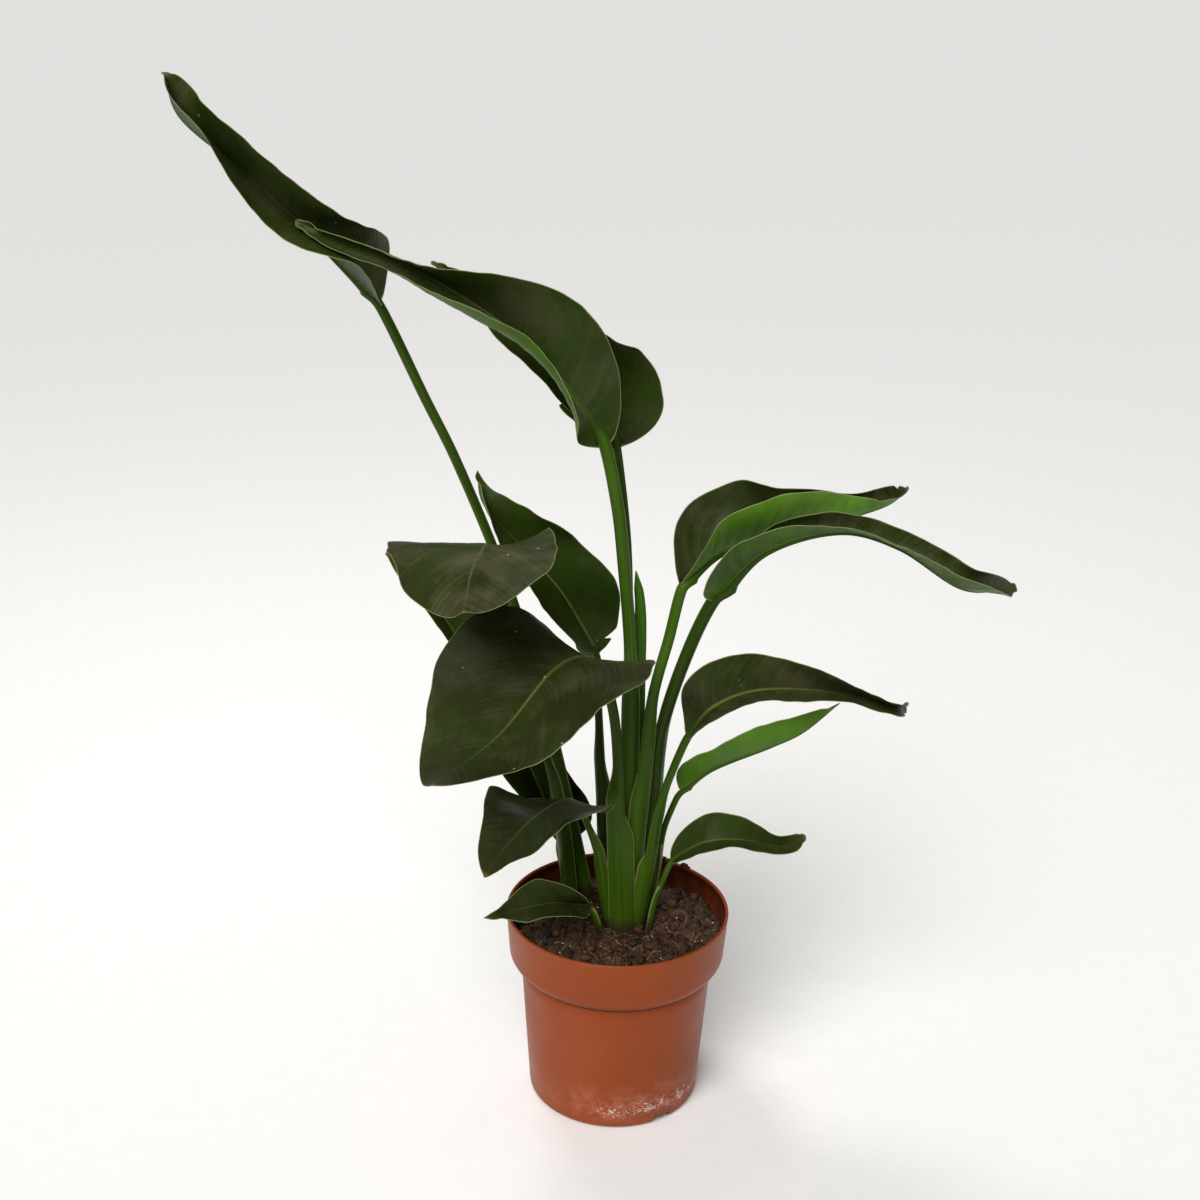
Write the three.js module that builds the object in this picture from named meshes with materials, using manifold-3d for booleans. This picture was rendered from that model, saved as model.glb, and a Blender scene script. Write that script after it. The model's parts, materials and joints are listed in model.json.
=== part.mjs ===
// Potted bird of paradise: a young plant with fourteen open leaves and one rolled spear, growing in a
// round nursery pot filled with peat. Millimetres, +Z up, origin at the centre of the pot's underside,
// the plant's broad side facing -Y.
import * as THREE from "three";
import Module from "manifold-3d";

const wasm = await Module();
wasm.setup();

// ---- driving dimensions ------------------------------------------------------------------------

const POT = {
  height: 155,
  rimRadius: 84.5, // outside of the collar at the top
  collarFootRadius: 82, // outside of the collar where its shoulder starts
  collarHeight: 33, // straight part of the deep collar
  shoulderHeight: 12, // rounded step from the collar in to the body
  bodyTopRadius: 72.8,
  bodyFootRadius: 65.2,
  footCorner: 4.5, // radius of the rounded bottom corner
  wall: 1.6,
  rimLip: 2.4, // thickened rim at the mouth
  rimLipHeight: 3,
  rimRound: 0.8,
  floor: 2.6,
  underRecess: 1.4, // how far the ring between disc and foot ring is raised
  discRadius: 24, // flat disc in the middle of the underside
  footRingRadius: 50, // inner edge of the ring that the pot stands on
  sides: 40,
};
const DRAIN = { count: 3, width: 16, height: 5, inner: 54, outer: 72, turn: -55 };
const SOIL = {
  top: 140,
  lump: 1.6, // height of the broad lumps
  grain: 1, // height of the small lumps
  sunk: 2, // how much lower the surface lies beside the wall
  edge: 6, // straight side left under the surface
  rings: 7,
  sides: 30,
};
const CLEARANCE = 0.3; // between pieces that touch
const HOLE = 0.5; // between a stalk and the side of its hole in the soil
const ROOTED = 16; // how far a stalk goes down into the soil
const BLADE = {
  thickness: 0.8,
  rows: (half) => Math.round(7 + half / 5),
  columns: (half) => (half > 27 ? 4 : 3), // on each side of the midrib
  least: 1.3, // half width left at the base
  unfold: 6, // half width over which the fold opens out at both ends
};
const STALK = { sides: 10, rows: 12, neck: 0.04, flare: 0.7 };

// Each leaf: `stalk` runs from the soil to the blade and `rib` from there to the tip. `face` is the
// way that the upper side looks at the base of the blade. `left` and `right` are the angles, evenly
// spaced from base to tip, by which each half is folded up from flat; `curl` bends each half
// further, and `trim` makes it wider or narrower at even places from base to tip. `sheath` is half
// width, half thickness and bow of the foot, which clasps what stands on its `inner` side, `round`
// the radius of the stalk under the blade and `clasp` the share of the stalk that the sheath takes.
// `blunt` is the half width left at the tip, `lobe` how far the base reaches back beside the
// stalk and `wave` the height of the waves along the margins.
const LEAVES = {
  leaf_top_left: {
    stalk: [[-26, 46, 139], [-50.5, 48, 250], [-80, 49, 373], [-124, 45, 491], [-145, 43, 536],
      [-180, 47, 607]],
    rib: [[-180, 47, 607], [-231, 19, 667], [-264, 8, 701], [-302, 11, 733], [-312, 24, 758]],
    face: [0.55, -0.77, 0.33],
    half: 46, widest: 0.42, fullness: 0.48,
    left: [65, 71, 36, 71, 74], right: [-13, 70, 91, 87, 39], curl: [-10, 8],
    wave: 0.9, lobe: 5, blunt: 5,
    trim: [[0.9, 1.35, 0.7, 1.15, 1.15], [1.1, 1, 0.95, 1.05, 1]],
    inner: [0.3, 1, 0], sheath: [7, 3, 2], round: 3.6, clasp: 0.5,
  },
  leaf_top_front: {
    stalk: [[5, 7, 140], [6, 8, 275], [4, 8, 363], [-2.5, 8, 430], [-8, 9, 472], [-19, 12, 519]],
    rib: [[-19, 12, 519], [-43, -12, 560], [-86, -20, 605], [-157, -15, 646], [-225, -5, 668]],
    face: [0.25, -0.96, -0.13],
    half: 45, widest: 0.37, fullness: 0.6,
    left: [-13, 95, 95, 66, 36], right: [-7, 1, 50, 80, 82], curl: [32, 6],
    wave: 3.3, lobe: 7, blunt: 2.5,
    trim: [[0.85, 0.45, 1.1, 0.7, 1.3], [0.9, 1, 1.1, 0.7, 1]],
    inner: [0, 1, 0], sheath: [6.4, 2.5, 0], round: 4.6, clasp: 0.6,
  },
  leaf_top_rear: {
    stalk: [[5, 21, 140], [5, 26, 268], [1, 30, 423], [-3, 32, 464], [-10, 41, 510]],
    rib: [[-10, 41, 510], [-24, 53, 557], [-46, 43, 573], [-99, 33, 617], [-141, 46, 634]],
    face: [0.06, -0.99, 0.09],
    half: 50, widest: 0.31, fullness: 0.5,
    left: [50, 46, 64, 31, 42], right: [0, 43, 53, 67, 65], curl: [10, 4],
    wave: 1.2, lobe: 5, blunt: 2,
    trim: [[1, 1, 1, 0.8, 0.9], [1.1, 0.95, 1, 0.95, 0.8]],
    inner: [0, -1, 0], sheath: [5, 2.4, 0], round: 3, clasp: 0.5,
  },
  leaf_upright_left: {
    stalk: [[-9, 47, 140], [-13, 52, 222], [-18, 54, 294], [-21, 54, 342]],
    rib: [[-21, 54, 342], [-47, 49, 390], [-75, 43, 426], [-105, 35, 465], [-109, 42, 486]],
    face: [0.67, -0.74, 0.1],
    half: 41, widest: 0.39, fullness: 0.65,
    left: [38, 41, 41, 48, 80], right: [27, 53, 53, 61, -7], curl: [0, 7],
    wave: 3.1, lobe: 3, blunt: 0.6,
    trim: [[1.05, 1, 1, 0.9, 1], [1.15, 1.05, 1, 1.1, 0.8]],
    inner: [0.3, 1, 0], sheath: [6, 2.8, 2], round: 3.1, clasp: 0.72,
  },
  leaf_mid_left: {
    stalk: [[-37, 37, 140], [-44, 33, 203], [-69, 22, 323], [-81, 13, 368], [-89, 3, 406]],
    rib: [[-89, 3, 406], [-98, -32, 453], [-96, -67, 467], [-102, -102, 463], [-105, -139, 447]],
    face: [-0.31, 0.93, 0.22],
    half: 61, widest: 0.46, fullness: 0.55,
    left: [-13, 2, -25, -26, -42], right: [20, 28, 20, 3, -24], curl: [12, 0],
    wave: 1.6, lobe: 2, blunt: 3,
    trim: [[1.2, 0.85, 0.8, 0.95, 1], [1, 1.05, 1.1, 1.1, 1.05]],
    inner: [0.2, 1, 0], sheath: [6, 2.8, 2], round: 3.3, clasp: 0.5,
  },
  leaf_broad_front: {
    stalk: [[4, -9, 140], [1, -8, 207], [-2, -7, 265], [-7, -4, 318], [-17, -6, 354]],
    rib: [[-17, -6, 354], [-30, -32, 374], [-49, -59, 375], [-86, -97, 341], [-127, -136, 323]],
    face: [0.25, 0.82, 0.52],
    half: 72, widest: 0.5, fullness: 0.5,
    left: [16, -10, 1, 2, 11], right: [28, 34, 25, 7, -23], curl: [4, 9],
    wave: 0.6, lobe: 2, blunt: 2,
    trim: [[1.05, 1, 0.95, 0.9, 1.05], [1, 1.05, 1.1, 1.05, 1]],
    inner: [0, 1, 0], sheath: [9.5, 2, 3], round: 3.8, clasp: 0.65,
  },
  leaf_low_left: {
    stalk: [[-7, 1, 140], [-11, 0, 168], [-17, 0, 202], [-25, 0, 227], [-30, -6, 242]],
    rib: [[-30, -6, 242], [-38, -21, 257], [-61, -50, 257], [-82, -67, 240], [-96, -80, 223]],
    face: [0.23, 0.85, 0.48],
    half: 43, widest: 0.41, fullness: 0.55,
    left: [-14, -8, -2, -3, 7], right: [10, 1, 24, 23, 21], curl: [13, 9],
    wave: 1.1, lobe: 2, blunt: 1,
    trim: [[1.05, 1, 0.9, 0.9, 1], [1.15, 1, 1.15, 1, 1]],
    inner: [0.5, 1, 0], sheath: [5.5, 2.6, 2], round: 2.5, clasp: 0.8,
  },
  leaf_left_rear: {
    stalk: [[-39, 59, 140], [-41, 63, 151], [-44, 68, 162], [-46, 73, 173]],
    rib: [[-46, 73, 173], [-86, 94, 258], [-123, 84, 330], [-153, 78, 380], [-181, 80, 408]],
    face: [0.45, -0.84, 0.3],
    half: 48, widest: 0.28, fullness: 0.38,
    left: [65, 50, 45, 60, 5], right: [50, 78, 34, 30, 30], curl: [10, 5],
    wave: 0.5, lobe: 4, blunt: 1.5,
    trim: [[1, 1.2, 0.95, 1.1, 1], [1.2, 0.95, 0.95, 1, 1]],
    inner: [0.5, -1, 0], sheath: [5.5, 2.8, 2], round: 3, clasp: 0.9,
  },
  leaf_right_upper: {
    stalk: [[9, 1, 140], [15, 1, 250], [21, 0, 328], [31, -2, 376], [41, -3, 421]],
    rib: [[40, -4, 421], [68, 11, 439], [105, 6, 451], [132, 10, 460], [182, 21, 473],
      [194, 1, 492]],
    face: [-0.73, -0.58, 0.37],
    half: 43, widest: 0.32, fullness: 0.5,
    left: [76, 38, 80, 75, 23], right: [62, 73, 88, 80, 42], curl: [16, 5],
    wave: 0, lobe: 3, blunt: 2.5,
    trim: [[0.95, 1.1, 0.95, 0.75, 1.5], [0.35, 1, 1, 0.75, 1.05]],
    inner: [-0.2, 1, 0], sheath: [7, 2.2, 2], round: 4, clasp: 0.7,
  },
  leaf_right_arching: {
    stalk: [[22, 16, 140], [25, 14, 239], [29, 12, 298], [49, 8, 372], [64, -1, 410]],
    rib: [[64, -1, 410], [96, -11, 448], [148, -21, 467], [186, -26, 458], [227, -46, 437],
      [277, 3, 420]],
    face: [-0.74, -0.47, 0.48],
    half: 31, widest: 0.33, fullness: 0.4,
    left: [100, 75, 50, 38, 30], right: [65, 82, 60, 75, 25], curl: [24, -4],
    wave: 0, lobe: 4, blunt: 3.5,
    trim: [[0.3, 0.6, 0.45, 0.85, 1.1], [1.5, 0.8, 0.4, 1.15, 1]],
    inner: [-0.5, 1, 0], sheath: [7.6, 2.8, 2], round: 4.8, clasp: 0.66,
  },
  leaf_right_middle: {
    stalk: [[15, -3, 140], [21, -5, 190], [27, -8, 238], [38, -5, 275], [49, 0, 301]],
    rib: [[49, 0, 301], [66, -8, 327], [95, -3, 338], [157, -17, 344], [190, -16, 335],
      [208, 11, 322]],
    face: [-0.49, -0.85, 0.2],
    half: 30, widest: 0.36, fullness: 0.6,
    left: [-17, 34, 49, 86, 63], right: [66, 64, 66, 66, 26], curl: [8, 7],
    wave: 1.3, lobe: 3, blunt: 5,
    trim: [[1.05, 1.15, 0.9, 1, 0.95], [1, 1, 0.95, 1.05, 1.1]],
    inner: [-0.3, 1, 0], sheath: [6.5, 2, 2], round: 3, clasp: 0.75,
  },
  leaf_right_narrow: {
    stalk: [[27, 28, 140], [31, 25, 175], [33, 18, 208], [38, 13, 230], [46, 15, 248]],
    rib: [[46, 15, 248], [66, 12, 266], [111, 6, 290], [132, 3, 303], [159, 9, 325]],
    face: [-0.83, 0.07, 0.56],
    half: 27.5, widest: 0.36, fullness: 0.55,
    left: [52, 8, 15, 16, 5], right: [83, 55, 63, 76, 64], curl: [12, 12],
    wave: 0, lobe: 1, blunt: 0.5,
    trim: [[1.05, 0.85, 0.95, 0.95, 1], [0.95, 1, 1.05, 1, 0.95]],
    inner: [-1, -0.4, 0], sheath: [4, 2.2, 1], round: 2.4, clasp: 0.6,
  },
  leaf_right_low: {
    stalk: [[25, -3, 140], [28, -2, 160], [34, -1, 180], [40, 4, 194]],
    rib: [[40, 4, 194], [63, -5, 214], [87, -8, 219], [120, -13, 218], [139, -4, 221]],
    face: [-0.66, -0.68, 0.32],
    half: 19.5, widest: 0.42, fullness: 0.6,
    left: [8, -2, 30, 58, 32], right: [52, 53, 65, 58, 17], curl: [9, 8],
    wave: 0, lobe: 1, blunt: 3.5,
    trim: [[1.05, 1.05, 1.05, 0.95, 0.95], [0.95, 0.95, 1, 1.1, 1.1]],
    inner: [-1, 0.5, 0], sheath: [4.4, 2.2, 1], round: 2.4, clasp: 0.9,
  },
  leaf_small_front: {
    stalk: [[-14, -9, 140], [-17, -12, 152], [-21, -11, 162]],
    rib: [[-21, -11, 162], [-33, -18, 167], [-47, -29, 174], [-79, -36, 170], [-99, -45, 169]],
    face: [0.72, -0.65, 0.24],
    half: 23, widest: 0.39, fullness: 0.7,
    left: [56, 66, 76, 63, 87], right: [76, 76, 25, 22, 43], curl: [10, 11],
    wave: 0.6, lobe: 1, blunt: 0.8,
    trim: [[1.1, 1, 1, 0.95, 0.8], [0.85, 0.95, 1.05, 0.9, 0.65]],
    inner: [0.6, 1, 0], sheath: [3.2, 2.2, 0.5], round: 2.2, clasp: 0.9,
  },
};

// The rolled spear: heights along a nearly upright line with the radius of the roll at each.
const SPEAR = {
  line: [[9.5, 15, 140], [12, 16, 250], [11, 17, 340], [10.5, 16, 395], [6.5, 14, 422]],
  radii: [3, 3.8, 5.2, 5.2, 2.4],
  flat: 0.6, // thickness of the roll as a share of its width
};

const COLOURS = {
  pot: { color: 0xa8492a, roughness: 0.45 },
  soil: { color: 0x2a1a10, roughness: 1 },
  blade: { color: 0x2c3a1c, roughness: 0.42 },
  young: { color: 0x3f6420, roughness: 0.45 },
};
const YOUNG = ["leaf_right_narrow", "leaf_spear"];

// ---- curves and frames -------------------------------------------------------------------------

const vector = (p) => new THREE.Vector3(...p);

// Smooth run through values set evenly between 0 and 1.
function ease(values, at) {
  const last = values.length - 1;
  const place = THREE.MathUtils.clamp(at, 0, 1) * last;
  const i = Math.min(Math.floor(place), last - 1);
  const w = place - i;
  const b = values[i];
  const c = values[i + 1];
  const a = i > 0 ? values[i - 1] : 2 * b - c;
  const d = i + 2 <= last ? values[i + 2] : 2 * c - b;
  const cubic = 3 * b - a - 3 * c + d;
  return 0.5 * (2 * b + (c - a) * w + (2 * a - 5 * b + 4 * c - d) * w * w + cubic * w ** 3);
}

// Evenly spaced points along a smooth curve, each with the way forward, the way that the upper side
// looks and the way to the right, carried along from `face` without twist from the row `from`.
function spine(points, rows, from, face) {
  const curve = new THREE.CatmullRomCurve3(points.map(vector));
  curve.arcLengthDivisions = 400;
  const at = curve.getSpacedPoints(rows);
  const frames = at.map((point, i) => {
    const ahead = at[Math.min(i + 1, rows)].clone().sub(at[Math.max(i - 1, 0)]).normalize();
    return { point, ahead };
  });
  const settle = (frame, up) => {
    frame.up = up.clone().addScaledVector(frame.ahead, -up.dot(frame.ahead)).normalize();
    frame.right = frame.ahead.clone().cross(frame.up);
  };
  settle(frames[from], face);
  for (let i = from + 1; i <= rows; i += 1) settle(frames[i], frames[i - 1].up);
  for (let i = from - 1; i >= 0; i -= 1) settle(frames[i], frames[i + 1].up);
  return frames;
}

// ---- solids ------------------------------------------------------------------------------------

function solidFrom(points, faces) {
  return new wasm.Manifold(
    new wasm.Mesh({
      numProp: 3,
      vertProperties: new Float32Array(points.flatMap((p) => p.toArray())),
      triVerts: new Uint32Array(faces.flat()),
    }),
  );
}

// A closed body through rings of equally many points, with a fan over both ends.
function ringSolid(rings) {
  const n = rings[0].length;
  const points = rings.flat();
  const faces = [];
  for (let i = 0; i + 1 < rings.length; i += 1)
    for (let k = 0; k < n; k += 1) {
      const a = i * n + k;
      const b = i * n + ((k + 1) % n);
      faces.push([a, b, b + n], [a, b + n, a + n]);
    }
  const centre = (ring) => ring.reduce((s, p) => s.add(p), new THREE.Vector3()).divideScalar(n);
  const first = points.push(centre(rings[0])) - 1;
  const last = points.push(centre(rings.at(-1))) - 1;
  const top = (rings.length - 1) * n;
  for (let k = 0; k < n; k += 1) {
    faces.push([first, (k + 1) % n, k]);
    faces.push([last, top + k, top + ((k + 1) % n)]);
  }
  const solid = solidFrom(points, faces);
  return solid.volume() < 0 ? solidFrom(points, faces.map(([a, b, c]) => [a, c, b])) : solid;
}

// A turned body from an outline of [radius, height] pairs that starts and ends on the axis.
function turned(outline, sides) {
  const lathe = new THREE.LatheGeometry(outline.map(([r, z]) => new THREE.Vector2(r, z)), sides);
  lathe.rotateX(Math.PI / 2);
  return solidOf(lathe);
}

function solidOf(geometry) {
  const place = geometry.attributes.position;
  const known = new Map();
  const points = [];
  const index = [];
  for (let i = 0; i < place.count; i += 1) {
    const p = new THREE.Vector3().fromBufferAttribute(place, i);
    const key = p.toArray().map((v) => Math.round(v * 1e4)).join();
    if (!known.has(key)) known.set(key, points.push(p) - 1);
    index.push(known.get(key));
  }
  const order = geometry.index ? [...geometry.index.array] : index.map((_, i) => i);
  const faces = [];
  for (let i = 0; i < order.length; i += 3) {
    const [a, b, c] = [index[order[i]], index[order[i + 1]], index[order[i + 2]]];
    if (a !== b && b !== c && a !== c) faces.push([a, b, c]);
  }
  const solid = solidFrom(points, faces);
  return solid.volume() < 0 ? solidFrom(points, faces.map(([a, b, c]) => [a, c, b])) : solid;
}

function meshOf(name, solid, look) {
  const { vertProperties, triVerts } = solid.getMesh();
  const geometry = new THREE.BufferGeometry();
  geometry.setAttribute("position", new THREE.BufferAttribute(vertProperties, 3));
  geometry.setIndex(new THREE.BufferAttribute(triVerts, 1));
  geometry.computeVertexNormals();
  const mesh = new THREE.Mesh(
    geometry,
    new THREE.MeshStandardMaterial({ ...look, metalness: 0, name }),
  );
  mesh.name = name;
  return mesh;
}

// ---- leaves ------------------------------------------------------------------------------------

// Half width of a blade at a place between its base (0) and its tip (1).
function halfWidth(leaf, at) {
  const tip = (leaf.fullness * (1 - leaf.widest)) / leaf.widest;
  const rise = (at / leaf.widest) ** leaf.fullness;
  const fall = ((1 - at) / (1 - leaf.widest)) ** tip;
  const least = THREE.MathUtils.lerp(BLADE.least, leaf.blunt, at);
  return Math.max(least, leaf.half * rise * fall);
}

// The points of one row of a blade, from its left margin over the midrib to its right margin.
function bladeRow(leaf, frame, at, columns) {
  const full = halfWidth(leaf, at);
  const open = Math.min(1, (full - BLADE.least) / BLADE.unfold);
  const ends = Math.min(1, 4 * (1 - at), 6 * at);
  const half = (side, angles, curl, trim) => {
    const width = full * (trim ? ease(trim, at) : 1);
    const row = [];
    let out = 0;
    let rise = 0;
    for (let k = 1; k <= columns; k += 1) {
      const share = (k - 0.5) / columns;
      const turn = (ease(angles, at) + curl * (2 * share - 1)) * open;
      out += (Math.cos(THREE.MathUtils.degToRad(turn)) * width) / columns;
      rise += (Math.sin(THREE.MathUtils.degToRad(turn)) * width) / columns;
      const reach = (k / columns) ** 2;
      const ripple = leaf.wave * Math.sin(2 * Math.PI * (3 * at + 0.37 * side)) * reach * ends;
      row.push(
        frame.point.clone()
          .addScaledVector(frame.right, side * out)
          .addScaledVector(frame.up, rise + ripple)
          .addScaledVector(frame.ahead, -leaf.lobe * reach * (1 - at) ** 6),
      );
    }
    return row;
  };
  const left = half(-1, leaf.left, leaf.curl[0], leaf.trim?.[0]).reverse();
  return [...left, frame.point.clone(), ...half(1, leaf.right, leaf.curl[1], leaf.trim?.[1])];
}

// A sheet of even thickness over a grid of points, with a keel under its middle column.
function sheet(grid, keel) {
  const rows = grid.length;
  const across = grid[0].length;
  const middle = (across - 1) / 2;
  const upper = [];
  const under = [];
  for (let i = 0; i < rows; i += 1)
    for (let k = 0; k < across; k += 1) {
      const along = grid[Math.min(i + 1, rows - 1)][k].clone().sub(grid[Math.max(i - 1, 0)][k]);
      const over = grid[i][Math.min(k + 1, across - 1)].clone().sub(grid[i][Math.max(k - 1, 0)]);
      const normal = over.cross(along).normalize();
      const below = k === middle ? keel(i / (rows - 1)) : BLADE.thickness / 2;
      upper.push(grid[i][k].clone().addScaledVector(normal, BLADE.thickness / 2));
      under.push(grid[i][k].clone().addScaledVector(normal, -below));
    }
  const lower = rows * across;
  const faces = [];
  for (let i = 0; i + 1 < rows; i += 1)
    for (let k = 0; k + 1 < across; k += 1) {
      const a = i * across + k;
      const b = a + across;
      faces.push([a, a + 1, b + 1], [a, b + 1, b]);
      faces.push([lower + a, lower + b + 1, lower + a + 1], [lower + a, lower + b, lower + b + 1]);
    }
  const rim = [];
  for (let k = 0; k + 1 < across; k += 1) rim.push(k);
  for (let i = 0; i + 1 < rows; i += 1) rim.push(i * across + across - 1);
  for (let k = across - 1; k > 0; k -= 1) rim.push((rows - 1) * across + k);
  for (let i = rows - 1; i > 0; i -= 1) rim.push(i * across);
  rim.forEach((a, j) => {
    const b = rim[(j + 1) % rim.length];
    faces.push([a, lower + a, lower + b], [a, lower + b, b]);
  });
  return solidFrom([...upper, ...under], faces);
}

// One ring of a stalk: an ellipse whose sides are bowed towards the upper side of the leaf.
function stalkRing(frame, [wide, thick, bow], extra) {
  const ring = [];
  for (let k = 0; k < STALK.sides; k += 1) {
    const angle = (2 * Math.PI * k) / STALK.sides;
    const across = Math.cos(angle);
    ring.push(
      frame.point.clone()
        .addScaledVector(frame.right, across * (wide + extra))
        .addScaledVector(frame.up, Math.sin(angle) * (thick + extra) + bow * across * across),
    );
  }
  return ring;
}

function stalkRings(leaf, extra) {
  const foot = vector(leaf.stalk[0]);
  const down = foot.clone().sub(vector(leaf.stalk[1])).normalize();
  const root = foot.addScaledVector(down, ROOTED + extra).toArray();
  const rib = new THREE.CatmullRomCurve3(leaf.rib.map(vector));
  const neck = rib.getPointAt(STALK.neck).toArray();
  const points = [root, ...leaf.stalk, neck];
  const frames = spine(points, STALK.rows, 0, vector(leaf.inner));
  return frames.map((frame, i) => {
    const at = i / STALK.rows;
    const sheathed = 1 - THREE.MathUtils.smoothstep(at, leaf.clasp * STALK.flare, leaf.clasp);
    const [wide, thick, bow] = leaf.sheath;
    const size = [
      THREE.MathUtils.lerp(leaf.round, wide, sheathed),
      THREE.MathUtils.lerp(leaf.round, thick, sheathed),
      bow * sheathed,
    ];
    return stalkRing(frame, size, extra);
  });
}

function leafSolid(leaf) {
  const rows = BLADE.rows(leaf.half);
  const frames = spine(leaf.rib, rows, 0, vector(leaf.face));
  const grid = frames.map((frame, i) => bladeRow(leaf, frame, i / rows, BLADE.columns(leaf.half)));
  const keel = (at) => BLADE.thickness / 2 + leaf.round * 0.8 * (1 - at) ** 1.3;
  return ringSolid(stalkRings(leaf, 0)).add(sheet(grid, keel));
}

function spearRings(extra) {
  const foot = vector(SPEAR.line[0]);
  const points = [[foot.x, foot.y, foot.z - ROOTED - extra], ...SPEAR.line];
  const frames = spine(points, STALK.rows, 0, new THREE.Vector3(0, -1, 0));
  const radii = [SPEAR.radii[0], ...SPEAR.radii];
  return frames.map((frame, i) => {
    const radius = ease(radii, i / STALK.rows);
    return stalkRing(frame, [radius, radius * SPEAR.flat, 0], extra);
  });
}

// ---- pot and soil ------------------------------------------------------------------------------

// Outside radius of the pot at a height, without the rounded bottom corner.
function potRadius(z) {
  const collarFoot = POT.height - POT.collarHeight;
  const shoulderFoot = collarFoot - POT.shoulderHeight;
  if (z >= collarFoot) {
    const share = (z - collarFoot) / POT.collarHeight;
    return THREE.MathUtils.lerp(POT.collarFootRadius, POT.rimRadius, share);
  }
  if (z >= shoulderFoot) {
    const share = (z - shoulderFoot) / POT.shoulderHeight;
    const round = Math.sin((share * Math.PI) / 2) ** 0.8;
    return THREE.MathUtils.lerp(POT.bodyTopRadius, POT.collarFootRadius, round);
  }
  return THREE.MathUtils.lerp(POT.bodyFootRadius, POT.bodyTopRadius, z / shoulderFoot);
}

// Heights at which the wall bends, from `from` up to the foot of the collar.
function wallHeights(from) {
  const collarFoot = POT.height - POT.collarHeight;
  const shoulderFoot = collarFoot - POT.shoulderHeight;
  const steps = [0, 0.15, 0.35, 0.6, 0.8, 1];
  return [from, ...steps.map((step) => shoulderFoot + step * POT.shoulderHeight)];
}

function pot() {
  const corner = POT.footCorner;
  const rim = POT.rimRadius;
  const mouth = rim - POT.rimLip;
  const inFloor = POT.underRecess + POT.floor;
  const outline = [
    [0, 0],
    [POT.discRadius, 0],
    [POT.discRadius + POT.underRecess, POT.underRecess],
    [POT.footRingRadius - POT.underRecess, POT.underRecess],
    [POT.footRingRadius, 0],
  ];
  for (const turn of [0, 30, 60, 90]) {
    const angle = THREE.MathUtils.degToRad(turn);
    const r = potRadius(corner) - corner * (1 - Math.sin(angle));
    outline.push([r, corner * (1 - Math.cos(angle))]);
  }
  for (const z of wallHeights(corner).slice(1)) outline.push([potRadius(z), z]);
  outline.push([rim, POT.height - POT.rimRound], [rim - POT.rimRound, POT.height]);
  outline.push([mouth + POT.rimRound, POT.height], [mouth, POT.height - POT.rimRound]);
  outline.push([mouth, POT.height - POT.rimLipHeight]);
  outline.push([rim - POT.wall, POT.height - POT.rimLipHeight - 1]);
  for (const z of wallHeights(corner).reverse()) outline.push([potRadius(z) - POT.wall, z]);
  outline.push([POT.bodyFootRadius - corner, inFloor], [0, inFloor]);
  let body = turned(outline, POT.sides);
  for (let i = 0; i < DRAIN.count; i += 1) {
    const slot = new THREE.BoxGeometry(DRAIN.outer - DRAIN.inner, DRAIN.width, 2 * DRAIN.height);
    slot.translate((DRAIN.inner + DRAIN.outer) / 2, 0, 0);
    slot.rotateZ(THREE.MathUtils.degToRad(DRAIN.turn + (360 * i) / DRAIN.count));
    body = body.subtract(solidOf(slot));
  }
  return body;
}

// Height of the lumpy soil surface; it is sunk a little beside the wall.
function soilHeight(x, y) {
  const broad = Math.sin(x / 11 + 1.3) * Math.cos(y / 9 + 0.4);
  const fine = Math.sin(x / 4.1 + y / 6.3) * Math.sin(y / 3.7 - x / 8.9);
  const edge = Math.hypot(x, y) / POT.rimRadius;
  return SOIL.top + SOIL.lump * broad + SOIL.grain * fine - SOIL.sunk * edge ** 6;
}

// Inside radius of the pot at a height, at the middle of one of its flat sides, less the clearance.
function soilRadius(z) {
  return (potRadius(z) - POT.wall) * Math.cos(Math.PI / POT.sides) - CLEARANCE;
}

function soil() {
  const ringAt = (radius, height) => {
    const ring = [];
    for (let k = 0; k < SOIL.sides; k += 1) {
      const angle = (2 * Math.PI * k) / SOIL.sides;
      const x = radius * Math.cos(angle);
      const y = radius * Math.sin(angle);
      ring.push(new THREE.Vector3(x, y, height ?? soilHeight(x, y)));
    }
    return ring;
  };
  const corner = POT.footCorner;
  const wide = soilRadius(SOIL.top - SOIL.edge);
  const rings = [
    ringAt(POT.bodyFootRadius - 2 * corner, POT.underRecess + POT.floor + CLEARANCE),
    ringAt(soilRadius(corner) - CLEARANCE, corner + 1),
    ...wallHeights(corner).slice(1).map((z) => ringAt(soilRadius(z), z)),
    ringAt(wide, SOIL.top - SOIL.edge),
  ];
  for (let i = SOIL.rings; i >= 1; i -= 1) rings.push(ringAt((wide * i) / SOIL.rings));
  let bed = ringSolid(rings);
  for (const leaf of Object.values(LEAVES)) bed = bed.subtract(ringSolid(stalkRings(leaf, HOLE)));
  return bed.subtract(ringSolid(spearRings(HOLE)));
}

// ---- the plant ---------------------------------------------------------------------------------

const plant = new THREE.Group();
plant.name = "potted_bird_of_paradise";
plant.add(meshOf("pot", pot(), COLOURS.pot));
plant.add(meshOf("soil", soil(), COLOURS.soil));
for (const [name, leaf] of Object.entries(LEAVES)) {
  const look = YOUNG.includes(name) ? COLOURS.young : COLOURS.blade;
  plant.add(meshOf(name, leafSolid(leaf), look));
}
plant.add(meshOf("leaf_spear", ringSolid(spearRings(0)), COLOURS.young));

export default plant;
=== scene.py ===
"""Potted bird of paradise: a leafy young plant in a moulded nursery pot of peat, in metres, +Z up.

The sizes of the leaves are the same as in the part's own source, in millimetres.
"""
import json
import math
import random
from functools import partial

import bpy
from bpy.props import FloatProperty, FloatVectorProperty, IntProperty, PointerProperty
from mathutils import Matrix, Vector, noise

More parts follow.
